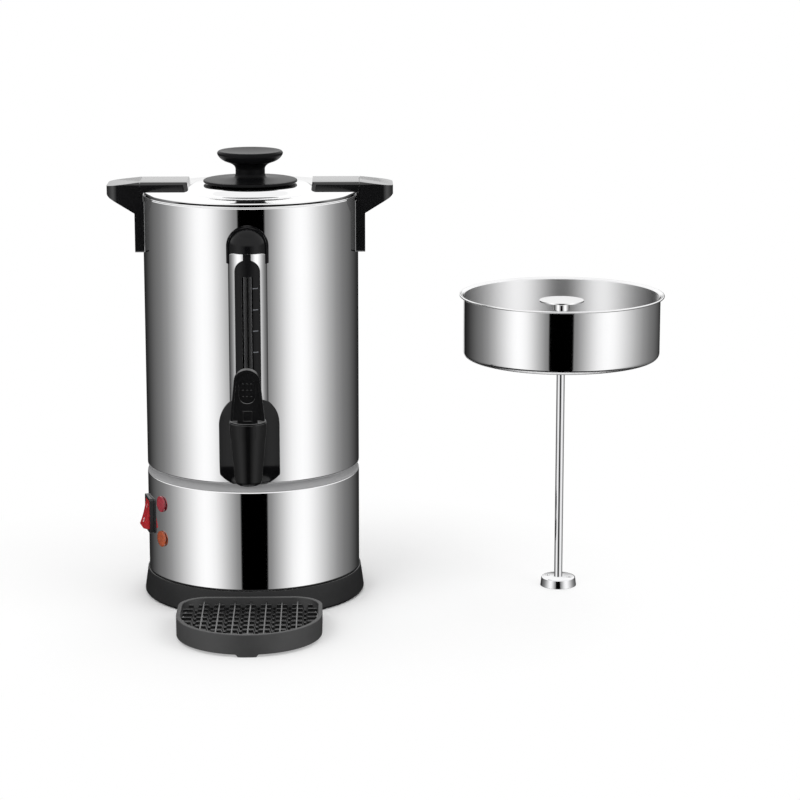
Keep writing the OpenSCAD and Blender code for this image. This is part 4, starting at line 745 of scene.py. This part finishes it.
grille_frame = slab("grille_frame", tray_line(TRAY_INSET), LEDGE_Z, LEDGE_Z + FRAME_H,
                    grille_grey, inner=tray_line(TRAY_INSET + RIB_T))
hand_over(joined("tray_grille", rows + [grille_frame], grille_grey),
          "grille", "tray_plastic", "drip_grille")

# Brewing set

BASKET_Z, CORNER = 246, 6
CORNER_R, CORNER_Z = BASKET_R - CORNER, BASKET_Z + CORNER
STEM_IN, STEM_OUT, STEM_LOW, STEM_HIGH = 2.7, 4.3, 6.4, 300

hand_over(lathe("basket_shell", [
    (88.8, BASKET_Z + WALL), (88.8, BASKET_Z), (92.8, BASKET_Z),
    *arc(CORNER_R, CORNER_Z, CORNER, -90, 0, 8), (BASKET_R, 280), (BASKET_R, 309.6),
    *arc(102.8, 309.4, 1, 180, 90, 4), (104.2, 310.4), *arc(104.9, 310.9, 1.1, -120, 150, 12),
    (103, 311.4), (101.6, 310.9), (100.8, 310), (100.8, 280),
    *arc(CORNER_R, CORNER_Z, CORNER - WALL, 0, -90, 8),
], basket_steel, BREW, AROUND), "basket", "basket_steel", "basket")
hand_over(cad_copy("guide_tube", "basket_guide", plain_steel, 0.3, 2),
          "basket", "tube_steel", "basket_guide")
hand_over(cad_copy("spreader_plate", "spreader_disc", disc_steel, 0.3, 2),
          "spreader", "lid_steel", "spreader_disc")
stem_line = rounded([(STEM_IN, STEM_LOW), (STEM_OUT, STEM_LOW), (STEM_OUT, STEM_HIGH, 0.5),
                     (STEM_IN, STEM_HIGH, 0.3)], 3)
hand_over(lathe("stem_tube", stem_line, tube_steel, BREW, 64),
          "stem", "tube_steel", "pump_stem")
hand_over(cad_copy("foot_disc", "stem_foot", tube_steel, 0.3, 2),
          "stem", "foot_steel", "stem_foot")

# The steel mirrors the studio and, of the object's own pieces, only these, as in the photograph

MIRRORED = ("knob_disc", "knob_body", "lid_shell", "grip_left", "grip_right", "seam_lip_left",
            "seam_lip_right", "skirt", "switch_frame", "rocker_cap", "red_lens", "amber_lens")
for piece in scene.objects:
    piece.visible_glossy = piece.name in MIRRORED

# Floor: it glows white for the camera alone, more with the distance, so that its edge never shows

FLOOR_HALF, FLOOR_DROP, FLOOR_WHITE = 16000, 0.3, 0.99
FADE_START, FADE_END = 0.12, 0.42


def floor_material():
    """Matt white that turns into a plain white glow away from the object."""
    material = bpy.data.materials.new("floor_white")
    material.use_nodes = True
    tree = material.node_tree
    matt = tree.nodes["Principled BSDF"]
    matt.inputs["Base Color"].default_value = (FLOOR_WHITE, FLOOR_WHITE, FLOOR_WHITE, 1)
    matt.inputs["Roughness"].default_value = 0.8
    matt.inputs["Specular IOR Level"].default_value = 0
    where = fed(tree, "TexCoord", {})["Object"]
    distance = fed(tree, "VectorMath", {0: where}, operation="LENGTH")["Value"]
    share = maths(tree, "MULTIPLY", ranged(tree, distance, FADE_START, FADE_END),
                  fed(tree, "LightPath", {})["Is Camera Ray"])
    glow = fed(tree, "Emission", {})["Emission"]
    both = fed(tree, "MixShader", {0: share, 1: matt.outputs["BSDF"], 2: glow})["Shader"]
    tree.links.new(both, tree.nodes["Material Output"].inputs["Surface"])
    return material


floor = solid("floor", [(x * FLOOR_HALF, y * FLOOR_HALF, -FLOOR_DROP)
                        for x, y in ((-1, -1), (1, -1), (1, 1), (-1, 1))],
              [(0, 1, 2, 3)], floor_material())
floor.visible_glossy = False

# A round studio tent that only mirrors see: its brightness round the object, from the
# camera side to the back, is (angle in degrees, brightness)

TENT = [(0, 0), (13.6, 0), (14.5, 0.25), (17.8, 0.3), (23.8, 0.465), (29.7, 0.65), (35.7, 0.85),
        (41.6, 1.02), (47.6, 1.12), (53.5, 1.15), (59.5, 1.1), (65.4, 0.99), (77.3, 0.73),
        (89.2, 0.49), (101, 0.314), (113, 0.21), (125, 0.152), (137, 0.09), (149, 0.04),
        (162, 0.016), (168, 0.016), (175, 0.8), (180, 0.9)]
TENT_R, TENT_LOW, TENT_HIGH, TENT_SIDES, CAMERA_TURN, PEAK = 2750, -4700, 4000, 96, 2.0, 1.3

# The tent by its height, in metres: its light turns even higher up and grey at the very bottom.
# Under the floor's level a dark band draws the dark lines at the rims, and its stops are (share
# of the way up from the tent's bottom to the floor, brightness)

EVEN_START, EVEN_END, EVEN_LIGHT = 0.45, 0.85, 0.85
DARK_BAND = ((0, 1), (0.02, 1), (0.05, 0.01), (0.63, 0.01), (0.67, 1), (1, 1))
BOTTOM_START, BOTTOM_END, BOTTOM_LIGHT = -4.5, -4.65, 0.75


def tent_material():
    """Glows by the angle round the object and by the height."""
    material = bpy.data.materials.new("tent_glow")
    material.use_nodes = True
    tree = material.node_tree
    tree.nodes.clear()
    spot = fed(tree, "SeparateXYZ", {"Vector": fed(tree, "TexCoord", {})["Object"]})
    angle = maths(tree, "ARCTAN2", spot["X"], maths(tree, "MULTIPLY", spot["Y"], -1))
    off_camera = maths(tree, "ABSOLUTE", maths(tree, "SUBTRACT", angle, radians(CAMERA_TURN)))
    light = ramp(tree, maths(tree, "DIVIDE", off_camera, pi),
                 [(degrees_off / 180, (level / PEAK,) * 3) for degrees_off, level in TENT])
    light = mixed(tree, ranged(tree, spot["Z"], EVEN_START, EVEN_END), light,
                  (EVEN_LIGHT,) * 3 + (1,))
    band = ramp(tree, ranged(tree, spot["Z"], TENT_LOW * MM, 0),
                [(share, (level,) * 3) for share, level in DARK_BAND])
    light = mixed(tree, 1, light, band, "MULTIPLY")
    light = mixed(tree, ranged(tree, spot["Z"], BOTTOM_START, BOTTOM_END), light,
                  (BOTTOM_LIGHT,) * 3 + (1,))
    glow = fed(tree, "Emission", {"Color": light, "Strength": PEAK})["Emission"]
    fed(tree, "OutputMaterial", {"Surface": glow})
    return material


tent_ring = [(TENT_R * cos(tau * i / TENT_SIDES), TENT_R * sin(tau * i / TENT_SIDES))
             for i in range(TENT_SIDES)]
tent_wall = [(i, (i + 1) % TENT_SIDES, TENT_SIDES + (i + 1) % TENT_SIDES, TENT_SIDES + i)
             for i in range(TENT_SIDES)]
tent = solid("studio_tent", [(x, y, z) for z in (TENT_LOW, TENT_HIGH) for x, y in tent_ring],
             tent_wall + [tuple(range(TENT_SIDES))], tent_material())
tent.visible_camera = tent.visible_diffuse = tent.visible_transmission = False
tent.visible_shadow = tent.visible_volume_scatter = False

# The world is white for the camera, in mirrors and through the clear tube, and dimmer as a light

WORLD_LIGHT = 0.72
world = bpy.data.worlds.new("studio_world")
scene.world = world
world.use_nodes = True
tree = world.node_tree
tree.nodes.clear()
ray = fed(tree, "LightPath", {})
mirrored = maths(tree, "MAXIMUM", ray["Is Camera Ray"], ray["Is Glossy Ray"])
seen = maths(tree, "MAXIMUM", mirrored, ray["Is Transmission Ray"])
dim, white = (fed(tree, "Background", {"Color": (1, 1, 1, 1), "Strength": power})["Background"]
              for power in (WORLD_LIGHT, 1))
sky = fed(tree, "MixShader", {0: seen, 1: dim, 2: white})["Shader"]
fed(tree, "OutputWorld", {"Surface": sky})

# Soft lights and the camera, in metres and watts

LIGHT_AIM = Vector((0.1, 0, 0.2))
CAMERA_PLACE, CAMERA_DOWN, CAMERA_ASIDE = (0.09586, -2.7456, 0.792), 12.16, 1.19


def soft_light(name, x, y, z, size, power):
    """A square soft light that looks at the middle of the urn."""
    data = bpy.data.lights.new(name, "AREA")
    data.shape = "SQUARE"
    data.size = size
    data.energy = power
    light = added(name, data)
    light.location = (x, y, z)
    light.rotation_euler = (LIGHT_AIM - light.location).to_track_quat("-Z", "Y").to_euler()
    light.visible_glossy = False


soft_light("key_light", -1.4, -1.8, 2.4, 1.6, 22)
soft_light("fill_light", 1.9, -1.2, 1.9, 1.6, 13)
soft_light("back_light", 0.2, 2.0, 2.6, 1.8, 16)

camera_data = bpy.data.cameras.new("camera")
camera_data.sensor_width = 36
camera_data.lens = 121.5
camera = added("camera", camera_data)
camera.location = CAMERA_PLACE
camera.rotation_euler = (radians(90 - CAMERA_DOWN), 0, radians(-CAMERA_ASIDE))
scene.camera = camera
scene.view_settings.view_transform = "Standard"
